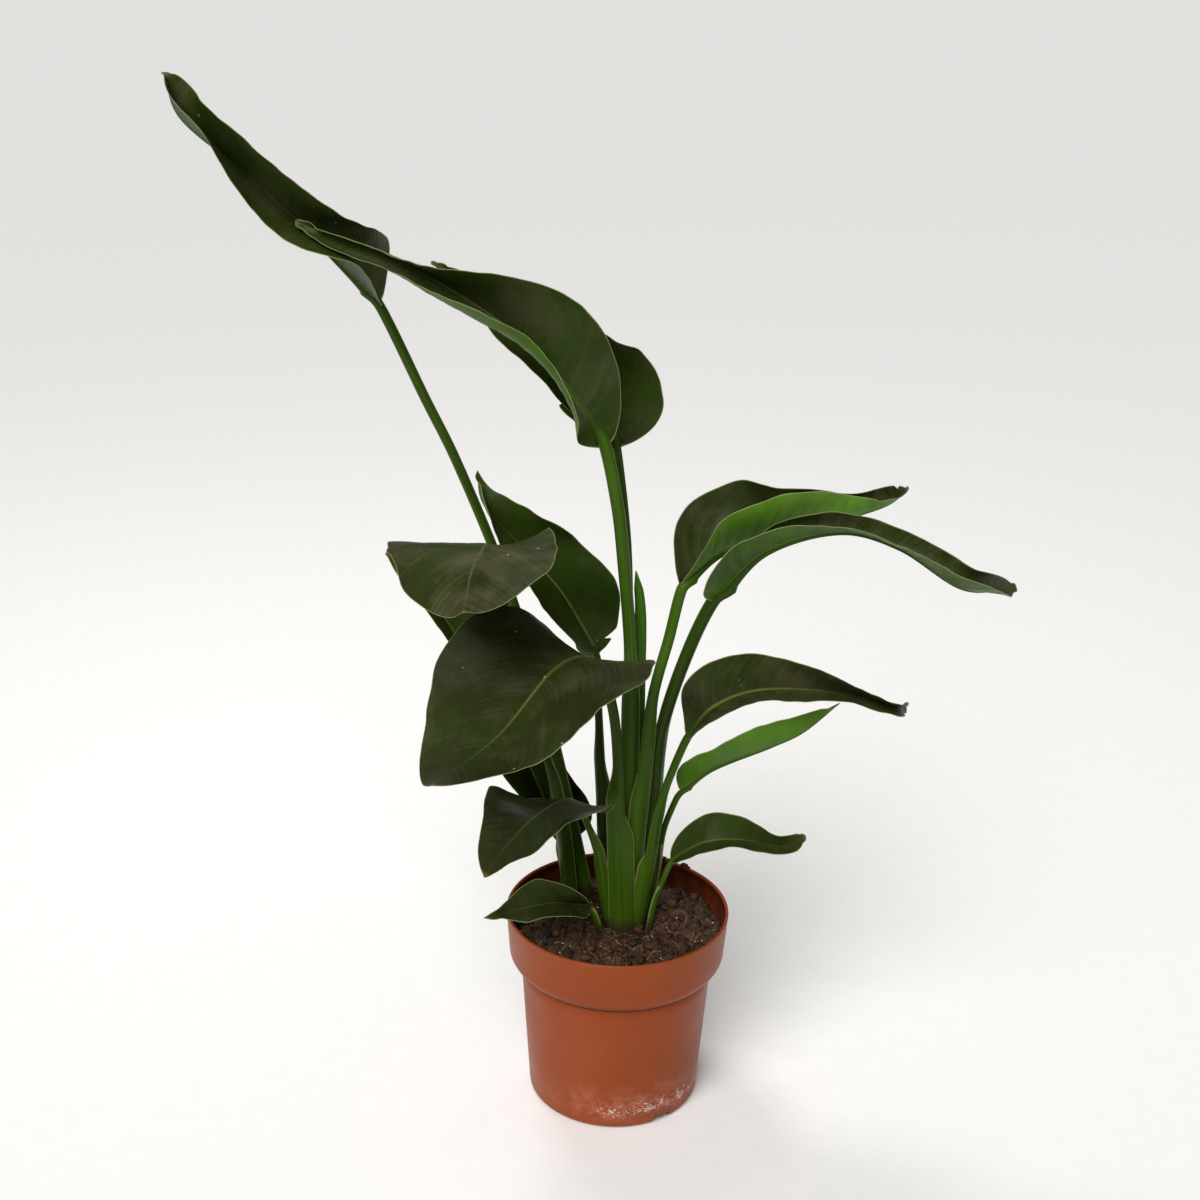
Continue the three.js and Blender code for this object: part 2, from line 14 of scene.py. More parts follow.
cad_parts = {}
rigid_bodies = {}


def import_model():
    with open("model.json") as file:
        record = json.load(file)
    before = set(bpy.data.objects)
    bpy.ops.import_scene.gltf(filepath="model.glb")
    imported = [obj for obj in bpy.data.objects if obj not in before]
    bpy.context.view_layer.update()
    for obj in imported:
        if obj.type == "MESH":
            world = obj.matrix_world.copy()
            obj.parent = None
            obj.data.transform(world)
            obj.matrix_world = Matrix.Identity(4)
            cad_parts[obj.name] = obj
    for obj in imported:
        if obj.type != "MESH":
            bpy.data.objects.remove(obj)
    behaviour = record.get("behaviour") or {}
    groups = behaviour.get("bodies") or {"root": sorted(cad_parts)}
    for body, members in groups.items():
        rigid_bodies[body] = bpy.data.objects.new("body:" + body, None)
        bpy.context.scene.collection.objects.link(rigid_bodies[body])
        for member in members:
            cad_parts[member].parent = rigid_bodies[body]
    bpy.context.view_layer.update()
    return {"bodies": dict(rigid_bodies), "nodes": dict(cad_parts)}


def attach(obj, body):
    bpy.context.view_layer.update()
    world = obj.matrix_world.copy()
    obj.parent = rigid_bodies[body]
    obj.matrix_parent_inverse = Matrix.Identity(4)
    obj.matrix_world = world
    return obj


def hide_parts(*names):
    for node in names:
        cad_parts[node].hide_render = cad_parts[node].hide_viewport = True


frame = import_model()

bl_info = {
    "name": "Potted bird of paradise",
    "version": (1, 0, 0),
    "blender": (4, 5, 0),
    "location": "View3D > Sidebar > Plant",
    "description": "Grows a potted foliage plant leaf by leaf around its frame",
    "category": "Add Mesh",
}

MM = 0.001
BODY = "root"


def linear(code):
    """Turns an sRGB hex colour into linear RGBA."""
    def channel(value):
        return value / 12.92 if value <= 0.04045 else ((value + 0.055) / 1.055) ** 2.4
    return tuple(channel(int(code[i:i + 2], 16) / 255) for i in (1, 3, 5)) + (1.0,)


# ---- the plant's own values, in millimetres and degrees ----
# stalk runs from the soil to the blade, rib from there to the tip; face is the way that the upper
# side looks at the blade's base. half is the widest half width, widest its place along the rib and
# fullness how round the base is (less is rounder). left and right are the angles by which each
# half is folded up, evenly spaced from base to tip; curl is how much further each half bends up
# towards its margin, and trim makes each half wider or narrower, spaced as the angles are. wave is
# how far the margins ripple, lobe how far they reach back past the base, blunt the half width left
# at the tip, and crease how deep the pleats between the side veins are. Each of nicks has a side,
# a place and half its length as shares of the rib, and its depth as a share of the half width.
# sheath is half width, half thickness and bow of the foot, inner the way it opens, round the
# stalk's radius, and wings how far up the sheath's two margins reach as shares of clasp, itself a
# share of the stalk. tone runs from old and dark (0) to young and fresh (1), stem does so for the
# stalk and under for the underside; dust is how dusty the upper side is. Besides age and dust,
# these four numbers also hold painted light and shade: they are set lower on leaves and stalks
# that lie in shade, such as those at the rear left, and higher on sides that are lit.
LEAVES = {
    "leaf_top_left": dict(
        stalk=[(-26, 46, 139), (-50.5, 48, 250), (-80, 49, 373), (-124, 45, 491),
               (-145, 43, 536), (-180, 47, 607)],
        rib=[(-180, 47, 607), (-231, 19, 667), (-264, 8, 701), (-302, 11, 733),
             (-312, 24, 758)],
        face=(0.55, -0.77, 0.33), half=46, widest=0.42, fullness=0.48,
        left=(65, 71, 36, 71, 74), right=(-13, 70, 91, 87, 39), curl=(-10, 8), wave=0.9, lobe=5,
        blunt=5, trim=((0.9, 1.35, 0.7, 1.15, 1.15), (1.1, 1, 0.95, 1.05, 1)),
        inner=(0.3, 1, 0), sheath=(7, 3, 2), round=3.6, clasp=0.5, wings=(1, 0.9),
        tone=0.3, stem=0.35, under=0, dust=0.7),
    "leaf_top_front": dict(
        stalk=[(5, 7, 140), (6, 8, 275), (4, 8, 363), (-2.5, 8, 430), (-8, 9, 472),
               (-19, 12, 519)],
        rib=[(-19, 12, 519), (-43, -12, 560), (-86, -20, 605), (-157, -15, 646),
             (-225, -5, 668)],
        face=(0.25, -0.96, -0.13), half=45, widest=0.37, fullness=0.6,
        left=(-13, 95, 95, 66, 36), right=(-7, 1, 50, 80, 82), curl=(32, 6), wave=3.3, lobe=7,
        blunt=2.5, trim=((0.85, 0.45, 1.1, 0.7, 1.3), (0.9, 1, 1.1, 0.7, 1)),
        inner=(0, 1, 0), sheath=(6.4, 2.5, 0), round=4.6, clasp=0.6, wings=(1, 1),
        tone=0.4, stem=0.75, dust=0.8),
    "leaf_top_rear": dict(
        stalk=[(5, 21, 140), (5, 26, 268), (1, 30, 423), (-3, 32, 464), (-10, 41, 510)],
        rib=[(-10, 41, 510), (-24, 53, 557), (-46, 43, 573), (-99, 33, 617), (-141, 46, 634)],
        face=(0.06, -0.99, 0.09), half=50, widest=0.31, fullness=0.5,
        left=(50, 46, 64, 31, 42), right=(0, 43, 53, 67, 65), curl=(10, 4), wave=1.2, lobe=5,
        blunt=2, trim=((1, 1, 1, 0.8, 0.9), (1.1, 0.95, 1, 0.95, 0.8)),
        inner=(0, -1, 0), sheath=(5, 2.4, 0), round=3, clasp=0.5, wings=(1, 1),
        tone=0.25, stem=0.15, dust=0.5),
    "leaf_upright_left": dict(
        stalk=[(-9, 47, 140), (-13, 52, 222), (-18, 54, 294), (-21, 54, 342)],
        rib=[(-21, 54, 342), (-47, 49, 390), (-75, 43, 426), (-105, 35, 465), (-109, 42, 486)],
        face=(0.67, -0.74, 0.1), half=41, widest=0.39, fullness=0.65,
        left=(38, 41, 41, 48, 80), right=(27, 53, 53, 61, -7), curl=(0, 7), wave=3.1, lobe=3,
        blunt=0.6, trim=((1.05, 1, 1, 0.9, 1), (1.15, 1.05, 1, 1.1, 0.8)),
        inner=(0.3, 1, 0), sheath=(6, 2.8, 2), round=3.1, clasp=0.72, wings=(0.8, 1),
        tone=0.45, stem=0, dust=0.25, nicks=((1, 0.05, 0.014, 0.45),)),
    "leaf_mid_left": dict(
        stalk=[(-37, 37, 140), (-44, 33, 203), (-69, 22, 323), (-81, 13, 368), (-89, 3, 406)],
        rib=[(-89, 3, 406), (-98, -32, 453), (-96, -67, 467), (-102, -102, 463),
             (-105, -139, 447)],
        face=(-0.31, 0.93, 0.22), half=61, widest=0.46, fullness=0.55,
        left=(-13, 2, -25, -26, -42), right=(20, 28, 20, 3, -24), curl=(12, 0), wave=1.6, lobe=2,
        blunt=3, trim=((1.2, 0.85, 0.8, 0.95, 1), (1, 1.05, 1.1, 1.1, 1.05)),
        inner=(0.2, 1, 0), sheath=(6, 2.8, 2), round=3.3, clasp=0.5, wings=(1, 0.8),
        tone=0.08, stem=0.3, dust=1.3),
    "leaf_broad_front": dict(
        stalk=[(4, -9, 140), (1, -8, 207), (-2, -7, 265), (-7, -4, 318), (-17, -6, 354)],
        rib=[(-17, -6, 354), (-30, -32, 374), (-49, -59, 375), (-86, -97, 341),
             (-127, -136, 323)],
        face=(0.25, 0.82, 0.52), half=72, widest=0.5, fullness=0.5,
        left=(16, -10, 1, 2, 11), right=(28, 34, 25, 7, -23), curl=(4, 9), wave=0.6, lobe=2,
        blunt=2, trim=((1.05, 1, 0.95, 0.9, 1.05), (1, 1.05, 1.1, 1.05, 1)),
        inner=(0, 1, 0), sheath=(9.5, 2, 3), round=3.8, clasp=0.65, wings=(0.75, 1),
        tone=0.05, stem=0.35, dust=0.7),
    "leaf_low_left": dict(
        stalk=[(-7, 1, 140), (-11, 0, 168), (-17, 0, 202), (-25, 0, 227), (-30, -6, 242)],
        rib=[(-30, -6, 242), (-38, -21, 257), (-61, -50, 257), (-82, -67, 240),
             (-96, -80, 223)],
        face=(0.23, 0.85, 0.48), half=43, widest=0.41, fullness=0.55,
        left=(-14, -8, -2, -3, 7), right=(10, 1, 24, 23, 21), curl=(13, 9), wave=1.1, lobe=2,
        blunt=1, trim=((1.05, 1, 0.9, 0.9, 1), (1.15, 1, 1.15, 1, 1)),
        inner=(0.5, 1, 0), sheath=(5.5, 2.6, 2), round=2.5, clasp=0.8, wings=(1, 0.8),
        tone=0.08, stem=0.6, dust=0.7),
    "leaf_left_rear": dict(
        stalk=[(-39, 59, 140), (-41, 63, 151), (-44, 68, 162), (-46, 73, 173)],
        rib=[(-46, 73, 173), (-86, 94, 258), (-123, 84, 330), (-153, 78, 380), (-181, 80, 408)],
        face=(0.45, -0.84, 0.3), half=48, widest=0.28, fullness=0.38,
        left=(65, 50, 45, 60, 5), right=(50, 78, 34, 30, 30), curl=(10, 5), wave=0.5, lobe=4,
        blunt=1.5, trim=((1, 1.2, 0.95, 1.1, 1), (1.2, 0.95, 0.95, 1, 1)),
        inner=(0.5, -1, 0), sheath=(5.5, 2.8, 2), round=3, clasp=0.9, wings=(1, 1),
        tone=0.25, stem=0.3, dust=0.1),
    "leaf_right_upper": dict(
        stalk=[(9, 1, 140), (15, 1, 250), (21, 0, 328), (31, -2, 376), (41, -3, 421)],
        rib=[(40, -4, 421), (68, 11, 439), (105, 6, 451), (132, 10, 460), (182, 21, 473),
             (194, 1, 492)],
        face=(-0.73, -0.58, 0.37), half=43, widest=0.32, fullness=0.5,
        left=(76, 38, 80, 75, 23), right=(62, 73, 88, 80, 42), curl=(16, 5), wave=0, lobe=3,
        blunt=2.5, trim=((0.95, 1.1, 0.95, 0.75, 1.5), (0.35, 1, 1, 0.75, 1.05)),
        inner=(-0.2, 1, 0), sheath=(7, 2.2, 2), round=4, clasp=0.7, wings=(1, 0.7),
        tone=0.14, stem=0.85, under=0.85, crease=0.9, dust=0.6,
        nicks=((-1, 0.93, 0.008, 0.3),)),
    "leaf_right_arching": dict(
        stalk=[(22, 16, 140), (25, 14, 239), (29, 12, 298), (49, 8, 372), (64, -1, 410)],
        rib=[(64, -1, 410), (96, -11, 448), (148, -21, 467), (186, -26, 458), (227, -46, 437),
             (277, 3, 420)],
        face=(-0.74, -0.47, 0.48), half=31, widest=0.33, fullness=0.4,
        left=(100, 75, 50, 38, 30), right=(65, 82, 60, 75, 25), curl=(24, -4), wave=0, lobe=4,
        blunt=3.5, trim=((0.3, 0.6, 0.45, 0.85, 1.1), (1.5, 0.8, 0.4, 1.15, 1)),
        inner=(-0.5, 1, 0), sheath=(7.6, 2.8, 2), round=4.8, clasp=0.66, wings=(1, 0.7),
        tone=0.2, stem=0.05, under=0.3, crease=0.3, dust=1.2),
    "leaf_right_middle": dict(
        stalk=[(15, -3, 140), (21, -5, 190), (27, -8, 238), (38, -5, 275), (49, 0, 301)],
        rib=[(49, 0, 301), (66, -8, 327), (95, -3, 338), (157, -17, 344), (190, -16, 335),
             (208, 11, 322)],
        face=(-0.49, -0.85, 0.2), half=30, widest=0.36, fullness=0.6,
        left=(-17, 34, 49, 86, 63), right=(66, 64, 66, 66, 26), curl=(8, 7), wave=1.3, lobe=3,
        blunt=5, trim=((1.05, 1.15, 0.9, 1, 0.95), (1, 1, 0.95, 1.05, 1.1)),
        inner=(-0.3, 1, 0), sheath=(6.5, 2, 2), round=3, clasp=0.75, wings=(1, 0.6),
        tone=0.12, stem=0.6, dust=0.75),
    "leaf_right_narrow": dict(
        stalk=[(27, 28, 140), (31, 25, 175), (33, 18, 208), (38, 13, 230), (46, 15, 248)],
        rib=[(46, 15, 248), (66, 12, 266), (111, 6, 290), (132, 3, 303), (159, 9, 325)],
        face=(-0.83, 0.07, 0.56), half=27.5, widest=0.36, fullness=0.55,
        left=(52, 8, 15, 16, 5), right=(83, 55, 63, 76, 64), curl=(12, 12), wave=0, lobe=1,
        blunt=0.5, trim=((1.05, 0.85, 0.95, 0.95, 1), (0.95, 1, 1.05, 1, 0.95)),
        inner=(-1, -0.4, 0), sheath=(4, 2.2, 1), round=2.4, clasp=0.6, wings=(1, 1),
        tone=0.6, stem=0.7, dust=0.0),
    "leaf_right_low": dict(
        stalk=[(25, -3, 140), (28, -2, 160), (34, -1, 180), (40, 4, 194)],
        rib=[(40, 4, 194), (63, -5, 214), (87, -8, 219), (120, -13, 218), (139, -4, 221)],
        face=(-0.66, -0.68, 0.32), half=19.5, widest=0.42, fullness=0.6,
        left=(8, -2, 30, 58, 32), right=(52, 53, 65, 58, 17), curl=(9, 8), wave=0, lobe=1,
        blunt=3.5, trim=((1.05, 1.05, 1.05, 0.95, 0.95), (0.95, 0.95, 1, 1.1, 1.1)),
        inner=(-1, 0.5, 0), sheath=(4.4, 2.2, 1), round=2.4, clasp=0.9, wings=(1, 0.8),
        tone=0.25, stem=0.7, dust=0.4),
    "leaf_small_front": dict(
        stalk=[(-14, -9, 140), (-17, -12, 152), (-21, -11, 162)],
        rib=[(-21, -11, 162), (-33, -18, 167), (-47, -29, 174), (-79, -36, 170),
             (-99, -45, 169)],
        face=(0.72, -0.65, 0.24), half=23, widest=0.39, fullness=0.7,
        left=(56, 66, 76, 63, 87), right=(76, 76, 25, 22, 43), curl=(10, 11), wave=0.6, lobe=1,
        blunt=0.8, trim=((1.1, 1, 1, 0.95, 0.8), (0.85, 0.95, 1.05, 0.9, 0.65)),
        inner=(0.6, 1, 0), sheath=(3.2, 2.2, 0.5), round=2.2, clasp=0.9, wings=(1, 1),
        tone=0.2, stem=0.5, dust=0.3),
}
YOUNG = ("leaf_right_narrow",)
SPEAR = dict(
    line=[(9.5, 15, 140), (12, 16, 250), (11, 17, 340), (10.5, 16, 395), (6.5, 14, 422)],
    radii=(3, 3, 4.2, 5.4, 5.2, 3), flat=0.6)
ROOTED = 16  # how far a stalk goes down into the soil
LEAST = 1.3  # half width of a blade at its very base
UNFOLD = 6  # half width over which the fold opens out at both ends
NECK = 0.04  # share of the rib at which the stalk has become the keel
KEEL_END = 0.97  # share at which the keel has run out
VEIN_STEP = 2.4  # between side veins
VEIN_BEND, VEIN_POWER = 0.075, 1.6  # a side vein bends forward by BEND * distance ** POWER
PLEAT_STEP, PLEAT_DEPTH = 11, 0.2  # depth where a leaf has no crease of its own

# the pot, as in the part: straight collar over a rounded shoulder over a tapered body
COLLAR, SHOULDER = 33, 12  # their heights
COLLAR_TAPER, SHOULDER_INSET, FOOT_INSET = 2.5, 11.7, 19.3  # from the rim's radius inwards
UNDERSIDE = ((24, 0), (25.4, 1.4), (48.6, 1.4), (50, 0))  # a ring is raised between disc and foot
WALL, FLOOR_TOP, FOOT_CORNER = 1.6, 4.0, 4.5
LIP = 1.2  # radius of the rounded lip
DRAINS, FIRST_DRAIN = 3, -55  # number of drain slots, and the direction of the first
DRAIN_REACH, DRAIN_WIDTH, DRAIN_TOP = (54, 72), 16, 5

# the peat
SOIL_TOP = 140
BED_SINK = 5.5  # how far the bed's hollows lie under the soil's top
BED_RADIUS, BED_SIDES, BED_RINGS = 80.9, 216, 80
BED_WALL = ((60, 4.4), (64.2, 6), (70.6, 105), (79.4, 122), (80.6, 131))  # radii and heights
RIM_CRUMBS = ((36, 74.5, 2.6), (41, 72.5, 2.0), (53, 64.5, 2.4), (56, 61, 1.5), (47, 69, 1.2))

# the stage, in metres and watts
FLOOR_HALF = 30.0
LIGHTS = (  # name, kind, place, size or angle, power
    ("key_light", "SUN", (-0.35, -0.95, 1.3), math.radians(38), 2.8),
    ("window_light", "AREA", (-0.45, 0.6, 1.65), 0.45, 8),
    ("fill_light", "AREA", (1.5, -1.2, 0.9), 1.0, 1.2))
LIGHTS_AIM = Vector((0, 0, 0.3))
CAMERA_SPOT, CAMERA_DOWN, CAMERA_ROLL = (-0.0188, -1.197, 0.864), 21, 1.34
SENSOR, LENS = 36.0, 54.0


# ---- settings ----

COLOUR = dict(subtype="COLOR", size=4, min=0, max=1)


class PotSettings(bpy.types.PropertyGroup):
    """Sizes and colour of the moulded pot."""
    height: FloatProperty(
        name="Height", description="Height of the pot over its foot", unit="LENGTH",
        default=0.155, min=0.05)
    rim_radius: FloatProperty(
        name="Rim radius", description="Outside of the collar at the mouth", unit="LENGTH",
        default=0.0845, min=0.03)
    segments: IntProperty(
        name="Segments", description="Flat sides around the pot", default=168, min=24)
    colour: FloatVectorProperty(
        name="Plastic", description="Colour of the plastic", default=linear("#8A3A0E"), **COLOUR)


class LeafSettings(bpy.types.PropertyGroup):
    """Fineness and colours of the leaves."""
    thickness: FloatProperty(
        name="Thickness", description="Thickness of a blade beside its midrib", unit="LENGTH",
        default=0.00055, min=0.0002)
    row_step: FloatProperty(
        name="Row step", description="Distance between rows of faces along a blade",
        unit="LENGTH", default=0.0022, min=0.0008)
    columns: IntProperty(
        name="Columns", description="Columns of faces on each side of the midrib", default=14,
        min=4)
    old_colour: FloatVectorProperty(
        name="Old leaf", description="Upper side of an old leaf", default=linear("#292E12"),
        **COLOUR)
    fresh_colour: FloatVectorProperty(
        name="Fresh leaf", description="Upper side of a young leaf", default=linear("#34520E"),
        **COLOUR)
    stalk_colour: FloatVectorProperty(
        name="Stalk", description="Leaf stalks in the middle of their length",
        default=linear("#203404"), **COLOUR)


class SoilSettings(bpy.types.PropertyGroup):
    """How coarse the peat is."""
    crumbs: IntProperty(
        name="Crumbs", description="Loose lumps of peat on the surface", default=900, min=0)
    roots: IntProperty(
        name="Roots", description="Fine roots that show at the surface", default=130, min=0)
    grains: IntProperty(
        name="Grains", description="White mineral grains in the peat", default=90, min=0)
    colour: FloatVectorProperty(
        name="Peat", description="Colour of moist peat", default=linear("#3A281C"), **COLOUR)


# ---- shading ----

def add(tree, kind, feeds=(), operation=None, **settings):
    """Adds a shader node with its settings. feeds fill its inputs, as a list by position or a
    dict by name or number: a node or socket is linked, anything else is the input's value."""
    made = tree.nodes.new("ShaderNode" + kind)
    if operation:
        made.operation = operation
    for key, value in settings.items():
        setattr(made, key, value)
    for key, feed in feeds.items() if isinstance(feeds, dict) else enumerate(feeds):
        if isinstance(key, int):
            socket = made.inputs[key]
        else:
            socket = next(s for s in made.inputs if s.enabled and s.name == key)
        if isinstance(feed, bpy.types.Node):
            feed = next(s for s in feed.outputs if s.enabled)
        if isinstance(feed, bpy.types.NodeSocket):
            tree.links.new(feed, socket)
        else:
            socket.default_value = feed
    return made


def blank(name):
    """A new material with an empty node tree, and add() for that tree."""
    material = bpy.data.materials.new(name)
    material.use_nodes = True
    material.node_tree.nodes.clear()
    return material, partial(add, material.node_tree)


def finish_shader(node, colour, layers, roughness, normal, **fixed):
    """Lays tints over a colour, each by its share of the surface, and puts a Principled shader
    on the material; fixed holds values of the shader's own sockets."""
    for share, tint in layers:
        colour = node("Mix", {0: share, 6: colour, 7: tint}, data_type="RGBA")
    feeds = {"Base Color": colour, "Roughness": roughness, "Normal": normal}
    feeds.update({key.replace("_", " "): value for key, value in fixed.items()})
    node("OutputMaterial", {"Surface": node("BsdfPrincipled", feeds)})


def leaf_skin(name, deep, fresh, rib, margin, vein, rough, dusty, gloss):
    """Leaf tissue under a waxy cuticle. Parallel side veins run from the midrib out towards the
    tip, which the eye reads as fine slanting lines; dust follows them. rib, margin, vein
    and dusty each hold a tint and its strength."""
    material, node = blank(name)
    across, along, edge, tip, tone, dust = (
        node("Attribute", attribute_name=label).outputs["Fac"]
        for label in ("across", "along", "edge", "tip", "tone", "dust"))
    place = node("TexCoord").outputs["Object"]
    away = node("Math", [across], "ABSOLUTE")
    bend = node("Math", [away, VEIN_POWER], "POWER")
    lean = node("Math", [bend, VEIN_BEND], "MULTIPLY")
    phase = node("Math", [along, lean], "SUBTRACT")
    # streaks along the side veins: about 3 mm wide and 60 mm long
    streak_place = node("CombineXYZ", [
        node("Math", [phase, 1 / 3], "MULTIPLY"),
        node("Math", [across, 1 / 60], "MULTIPLY"), tone])
    streak = node("TexNoise", dict(Vector=streak_place, Scale=1, Detail=4, Roughness=0.6))
    drift = node("Math", [streak, 2.5], "MULTIPLY")
    turn = node("Math", [phase, 2 * math.pi / VEIN_STEP, drift], "MULTIPLY_ADD")
    ridges = node("Math", [turn], "SINE")
    veined = node("MapRange", [streak, 0.45, 0.75, 0, vein[1]])
    # blotches of darker and fresher tissue, about 35 mm across
    blotch = node("TexNoise", dict(Vector=place, Scale=28, Detail=3, Roughness=0.55))
    young = node("Math", [node("MapRange", [blotch, 0.35, 0.7, -0.12, 0.2]), tone],
                 "ADD", use_clamp=True)
    # midrib: pale band that narrows towards the tip and fades out before it
    rib_width = node("MapRange", [tip, 0, 150, 0.35, 1.5])
    rib_share = node("Math", [away, rib_width], "DIVIDE")
    rib_pale = node("MapRange", [tip, 15, 110, 0.15 * rib[1], rib[1]])
    rib_mask = node("Math", [node("MapRange", [rib_share, 0.6, 1.5, 1, 0]), rib_pale],
                    "MULTIPLY")
    # dust lies in soft clouds and along the veins
    cloud = node("TexNoise", dict(Vector=place, Scale=19, Detail=5, Roughness=0.65))
    dust_streak = node("Math", [streak, 0.3, cloud], "MULTIPLY_ADD")
    dust_mask = node("Math", [node("MapRange", [dust_streak, 0.6, 0.85, 0, dusty[1]]), dust],
                     "MULTIPLY")
    # thin horny margin, about 0.6 mm wide
    margin_mask = node("MapRange", [edge, 0.3, 0.75, margin[1], 0])
    # dried brown tip, ragged over about 3 mm
    ragged = node("Math", [cloud, 9, tip], "MULTIPLY_ADD")
    dry = node("MapRange", [ragged, 5.5, 8, 0.85, 0])
    # a few pale specks of grit, about 1 mm
    cell = node("TexVoronoi", dict(Vector=place, Scale=55))
    rare = node("Math", [cell.outputs["Color"], 0.46], "GREATER_THAN")
    near = node("MapRange", [cell.outputs["Distance"], 0.035, 0.06, 0.75, 0])
    grit = node("Math", [near, rare], "MULTIPLY")
    grit = node("Math", [grit, dust], "MULTIPLY")
    roughness = node("Math", [dust_mask, 0.35, rough], "MULTIPLY_ADD")
    roughness = node("Math", [blotch, 0.12, roughness], "MULTIPLY_ADD",
                     use_clamp=True)
    relief = node("Math", [ridges, 0.25, streak], "MULTIPLY_ADD")
    normal = node("Bump", dict(Strength=0.3, Distance=0.0004, Height=relief))
    finish_shader(node, deep, (
        (young, fresh), (veined, vein[0]), (rib_mask, rib[0]), (dust_mask, dusty[0]),
        (margin_mask, margin[0]), (dry, linear("#6E5A3A")), (grit, linear("#C9CBB8"))),
        roughness, normal, IOR=1.43, Specular_IOR_Level=gloss)
    return material


def stalk_skin(name, dark, fresh, sheath, fibres, rough):
    """Smooth waxy leaf stalk: fine lengthwise fibres, yellower sheath, thin papery margin."""
    material, node = blank(name)
    across, along, edge, tone, sheathed = (
        node("Attribute", attribute_name=label).outputs["Fac"]
        for label in ("across", "along", "edge", "tone", "sheathed"))
    place = node("TexCoord").outputs["Object"]
    # fibres 0.8 mm wide that run the length of the stalk
    fibre_place = node("CombineXYZ", [
        node("Math", [across, 1 / 0.8], "MULTIPLY"),
        node("Math", [along, 1 / 90], "MULTIPLY"), tone])
    fibre = node("TexNoise", dict(Vector=fibre_place, Scale=1, Detail=3, Roughness=0.6))
    streaks = node("MapRange", [fibre, 0.4, 0.75, 0, 0.4])
    shade = node("TexNoise", dict(Vector=place, Scale=22, Detail=2, Roughness=0.5))
    young = node("Math", [node("MapRange", [shade, 0.3, 0.75, -0.15, 0.25]), tone],
                 "ADD", use_clamp=True)
    sheathing = node("Math", [sheathed, young], "MULTIPLY")
    margin = node("MapRange", [edge, 0.25, 0.7, 0.55, 0])
    # soil splashed on the lowest few millimetres
    splash = node("TexNoise", dict(Vector=place, Scale=260, Detail=3, Roughness=0.6))
    low = node("Math", [splash, -16, along], "MULTIPLY_ADD")
    soiled = node("MapRange", [low, -6, 2, 0.85, 0])
    roughness = node("Math", [shade, 0.15, rough], "MULTIPLY_ADD")
    normal = node("Bump", dict(Strength=0.3, Distance=0.0002, Height=fibre))
    finish_shader(node, dark, (
        (young, fresh), (sheathing, sheath), (streaks, fibres), (margin, linear("#9A9466")),
        (soiled, linear("#33241A"))), roughness, normal, IOR=1.43, Specular_IOR_Level=0.16)
    return material


def moulded_plastic():
    """Injection-moulded polypropylene in terracotta colour: satin, finely speckled by its
    filler, with lime scale and scuffs near the foot and painted shade inside the mouth."""
    material, node = blank("moulded_polypropylene")
    inside = node("Attribute", attribute_name="inside").outputs["Fac"]
    place = node("TexCoord").outputs["Object"]
    x, y, z = node("SeparateXYZ", [place]).outputs
    # filler grains of about 0.7 mm
    speckle = node("TexNoise", dict(Vector=place, Scale=1400, Detail=2, Roughness=0.7))
    grains = node("MapRange", [speckle, 0.3, 0.7, 0, 0.5])
    cloud = node("TexNoise", dict(Vector=place, Scale=16, Detail=4, Roughness=0.55))
    clouded = node("MapRange", [cloud, 0.4, 0.75, 0, 0.4])
    # lime scale: a ragged band 5 to 35 mm over the foot, thicker towards the front right
    band = 1.0
    for fade in ([z, 0.002, 0.014, 0, 1], [z, 0.018, 0.042, 1, 0],
                 [x, -0.055, 0, 0.1, 1], [y, -0.02, 0.03, 1, 0.25]):
        band = node("Math", [band, node("MapRange", fade)], "MULTIPLY")
    haze = node("TexNoise", dict(Vector=place, Scale=75, Detail=5, Roughness=0.7))
    hazy = node("Math", [node("MapRange", [haze, 0.42, 0.68, 0, 0.5]), band],
                "MULTIPLY")
    crust = node("TexNoise", dict(
        Vector=node("VectorMath", [place, (1, 1, 1.7)], "MULTIPLY"),
        Scale=190, Detail=6, Roughness=0.75, Distortion=1.2))
    crusted = node("MapRange", [
        node("Math", [band, 0.22, crust], "MULTIPLY_ADD"), 0.755, 0.81, 0, 0.8])
    # painted shade inside the mouth: the inner wall above the soil, and where the soil meets it,
    # is darkened unevenly
    painted_inner_shade = node("Math", [node("MapRange", [haze, 0.35, 0.65, 0.55, 0.95]), inside],
                "MULTIPLY")
    satin = node("MapRange", [cloud, 0.3, 0.7, 0.38, 0.5])
    roughness = node("Math", [crusted, 0.3, satin], "MULTIPLY_ADD")
    relief = node("Math", [crusted, 3, speckle], "MULTIPLY_ADD")
    normal = node("Bump", dict(Strength=0.25, Distance=0.00012, Height=relief))
    # the last tint, #38190F, is the painted shade inside the pot
    finish_shader(node, tuple(bpy.context.scene.plant_pot.colour), (
        (grains, linear("#9A4A18")), (clouded, linear("#742E0C")), (hazy, linear("#C98E7C")),
        (crusted, linear("#E3D5C6")), (painted_inner_shade, linear("#38190F"))),
        roughness, normal, IOR=1.49, Specular_IOR_Level=0.26)
    return material


